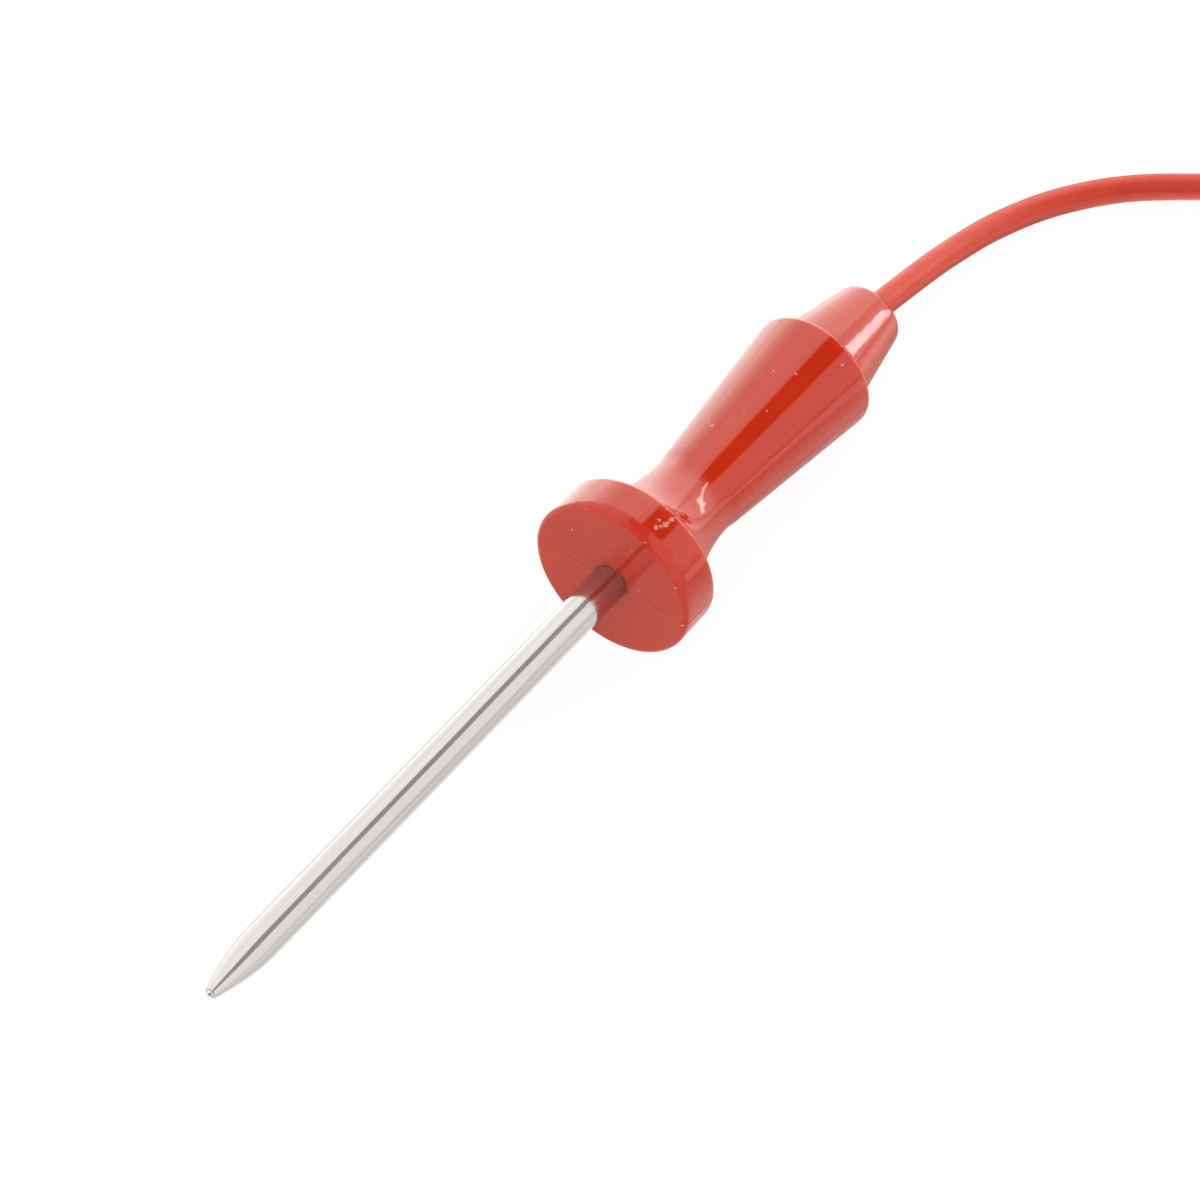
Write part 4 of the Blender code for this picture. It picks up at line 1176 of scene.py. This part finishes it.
def make_world():
    world = bpy.data.worlds.new("studio")
    bpy.context.scene.world = world
    world.use_nodes = True
    tree = world.node_tree
    tree.nodes.clear()
    path = tree.nodes.new("ShaderNodeLightPath")
    place = tree.nodes.new("ShaderNodeTexCoord")
    split = tree.nodes.new("ShaderNodeSeparateXYZ")
    tree.links.new(place.outputs["Generated"], split.inputs[0])
    round_share = turn_share(tree, split.outputs["Z"], split.outputs["Y"])
    sides = ramp(tree, round_share, ROUND_BANKS, TOP)
    end = ramp(tree, round_share, END_BANKS, TOP)
    at_end = spread(tree, split.outputs["X"], END_FROM, END_FULL)
    level = mixed(tree, at_end, sides, end)
    in_front = spread(tree, split.outputs["X"], BEHIND_FULL, BEHIND_FROM)
    level = mixed(tree, in_front, BEHIND, level)
    shaders = []
    levels = ((None, WORLD_LIGHT), (None, WORLD_SEEN), (warmed(tree, level), TOP))
    for colour, strength in levels:
        node = tree.nodes.new("ShaderNodeBackground")
        node.inputs["Color"].default_value = (1.0, 1.0, 1.0, 1.0)
        node.inputs["Strength"].default_value = strength
        if colour:
            tree.links.new(colour, node.inputs["Color"])
        shaders.append(node.outputs[0])
    output = tree.nodes.new("ShaderNodeOutputWorld")
    seen = tree.nodes.new("ShaderNodeMixShader")
    rays = either(tree, path.outputs["Is Camera Ray"], path.outputs["Is Transmission Ray"])
    tree.links.new(rays, seen.inputs["Fac"])
    tree.links.new(shaders[0], seen.inputs[1])
    tree.links.new(shaders[1], seen.inputs[2])
    mirrored = tree.nodes.new("ShaderNodeMixShader")
    tree.links.new(path.outputs["Is Glossy Ray"], mirrored.inputs["Fac"])
    tree.links.new(seen.outputs[0], mirrored.inputs[1])
    tree.links.new(shaders[2], mirrored.inputs[2])
    tree.links.new(mirrored.outputs[0], output.inputs["Surface"])


def make_floor():
    mesh = bpy.data.meshes.new("floor")
    corners = ((-1, -1), (1, -1), (1, 1), (-1, 1))
    points = [(FLOOR_HALF * x, FLOOR_HALF * y, 0.0) for x, y in corners]
    mesh.from_pydata(points, [], [(0, 1, 2, 3)])
    floor = bpy.data.objects.new("floor", mesh)
    bpy.context.collection.objects.link(floor)
    floor.location.z = FLOOR_HEIGHT
    material = bpy.data.materials.new("floor_white")
    material.use_nodes = True
    tree = material.node_tree
    shader = tree.nodes["Principled BSDF"]
    shader.inputs["Base Color"].default_value = (*FLOOR_COLOUR, 1.0)
    shader.inputs["Roughness"].default_value = 0.9
    shader.inputs["Specular IOR Level"].default_value = 0.0
    path = tree.nodes.new("ShaderNodeLightPath")
    place = tree.nodes.new("ShaderNodeNewGeometry")
    split = tree.nodes.new("ShaderNodeSeparateXYZ")
    tree.links.new(place.outputs["Position"], split.inputs[0])
    across = spread(tree, split.outputs["Y"], -TABLE_REACH, TABLE_REACH)
    table = ramp(tree, across, TABLE, TOP)
    past_sheath = spread(tree, split.outputs["X"], *SHEATH_PART)
    table = mixed(tree, past_sheath, ramp(tree, across, TABLE_BY_SHEATH, TOP), table)
    at_boot = spread(tree, split.outputs["X"], *BOOT_PART)
    table = mixed(tree, at_boot, table, ramp(tree, across, TABLE_BY_BOOT, TOP))
    seen = tree.nodes.new("ShaderNodeEmission")
    seen.inputs["Strength"].default_value = FLOOR_SEEN
    mirrored = tree.nodes.new("ShaderNodeEmission")
    mirrored.inputs["Strength"].default_value = TOP
    tree.links.new(warmed(tree, table), mirrored.inputs["Color"])
    kind = tree.nodes.new("ShaderNodeMixShader")
    tree.links.new(path.outputs["Is Glossy Ray"], kind.inputs["Fac"])
    tree.links.new(seen.outputs[0], kind.inputs[1])
    tree.links.new(mirrored.outputs[0], kind.inputs[2])
    rays = either(tree, path.outputs["Is Camera Ray"], path.outputs["Is Transmission Ray"])
    rays = either(tree, rays, path.outputs["Is Glossy Ray"])
    share = tree.nodes.new("ShaderNodeMath")
    share.operation = "MULTIPLY"
    share.inputs[1].default_value = FLOOR_SEEN_SHARE
    tree.links.new(rays, share.inputs[0])
    mix = tree.nodes.new("ShaderNodeMixShader")
    tree.links.new(share.outputs[0], mix.inputs["Fac"])
    tree.links.new(shader.outputs[0], mix.inputs[1])
    tree.links.new(kind.outputs[0], mix.inputs[2])
    tree.links.new(mix.outputs[0], tree.nodes["Material Output"].inputs["Surface"])
    mesh.materials.append(material)


def make_studio():
    make_world()
    make_floor()
    make_tent()
    for k, ((y0, z0), (y1, z1)) in enumerate(zip(TUBE_PATH, TUBE_PATH[1:])):
        near = ((y0 + TUBE_HALF, z0), (y0 - TUBE_HALF, z0))
        far = ((y1 - TUBE_HALF, z1), (y1 + TUBE_HALF, z1))
        card("bent_tube_%d" % k, TUBE_X, near + far, TUBE_STRENGTH)
    card("small_lamp", LAMP_X, LAMP_CORNERS, LAMP_STRENGTH)
    for name, place, aim, size, power in LIGHTS:
        lamp(name, place, (aim, 0.0, 0.0), size, power)
    bpy.context.scene.view_settings.view_transform = "Standard"


# The carried-over inner pieces: darker and lighter colour, roughness and metalness
INNER_LOOKS = {
    "sensor_bead": ((0.22, 0.15, 0.07), (0.34, 0.25, 0.13), 0.16, 0.0),
    "tip_potting": ((0.66, 0.65, 0.60), (0.78, 0.77, 0.73), 0.80, 0.0),
    "lead_wire_a": ((0.74, 0.74, 0.72), (0.84, 0.84, 0.82), 0.45, 0.0),
    "lead_wire_b": ((0.52, 0.04, 0.03), (0.62, 0.06, 0.05), 0.45, 0.0),
    "lead_liner": ((0.78, 0.77, 0.72), (0.88, 0.87, 0.83), 0.60, 0.0),
    "sheath_collar": ((0.52, 0.52, 0.51), (0.64, 0.64, 0.63), 0.32, 1.0),
    "splice_crimp_a": ((0.62, 0.60, 0.56), (0.76, 0.74, 0.70), 0.32, 1.0),
    "splice_crimp_b": ((0.62, 0.60, 0.56), (0.76, 0.74, 0.70), 0.32, 1.0),
    "splice_sleeve_a": ((0.07, 0.07, 0.08), (0.12, 0.12, 0.13), 0.55, 0.0),
    "splice_sleeve_b": ((0.07, 0.07, 0.08), (0.12, 0.12, 0.13), 0.55, 0.0),
    "cable_core_a": ((0.76, 0.76, 0.74), (0.85, 0.85, 0.83), 0.50, 0.0),
    "cable_core_b": ((0.02, 0.02, 0.02), (0.04, 0.04, 0.04), 0.50, 0.0),
    "cable_anchor": ((0.70, 0.68, 0.64), (0.82, 0.80, 0.76), 0.25, 1.0),
}


def main():
    add_camera()
    cable = knots_to_curve("cable", cable_knots(), CABLE_RADIUS)
    tie = make_tie()
    body, barrel, insulator, contact = make_plug()
    handle = make_handle()
    boot = make_boot()
    sheath = make_sheath()

    red = silicone("handle_silicone", DUST_AND_HIGHLIGHTS)
    red_boot = silicone("boot_silicone", BOOT_DUST)
    black = plain("black_moulding", (0.014, 0.014, 0.015), (0.028, 0.028, 0.030), 0.42)
    nickel = plated()
    jacket = cable_rubber()
    ring_black = plain("ring_black", (0.012, 0.012, 0.013), (0.022, 0.022, 0.024), 0.30)
    looks = (
        (cable, jacket, "cable_jacket", ("cable_run", "cable_coil", "cable_tail")),
        (tie, black, "tie_plastic", ("cable_tie",)),
        (body, black, "plug_plastic", ("plug_body",)),
        (barrel, nickel, "nickel", ("plug_sleeve",)),
        (insulator, ring_black, "ring_plastic", ("plug_insulator",)),
        (contact, nickel, "nickel", ("plug_tip",)),
        (handle, red, "silicone", ("handle_grip",)),
        (boot, red_boot, "boot_silicone", ("strain_relief",)),
        (sheath, steel(), "steel", ("probe_sheath",)),
    )
    for piece, material, slot, nodes in looks:
        dress(piece, material)
        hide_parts(*nodes)
        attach(piece, "root")

    for node, (dark, light, roughness, metallic) in INNER_LOOKS.items():
        dress_node(node, plain(node + "_look", dark, light, roughness, metallic))

    make_studio()


main()
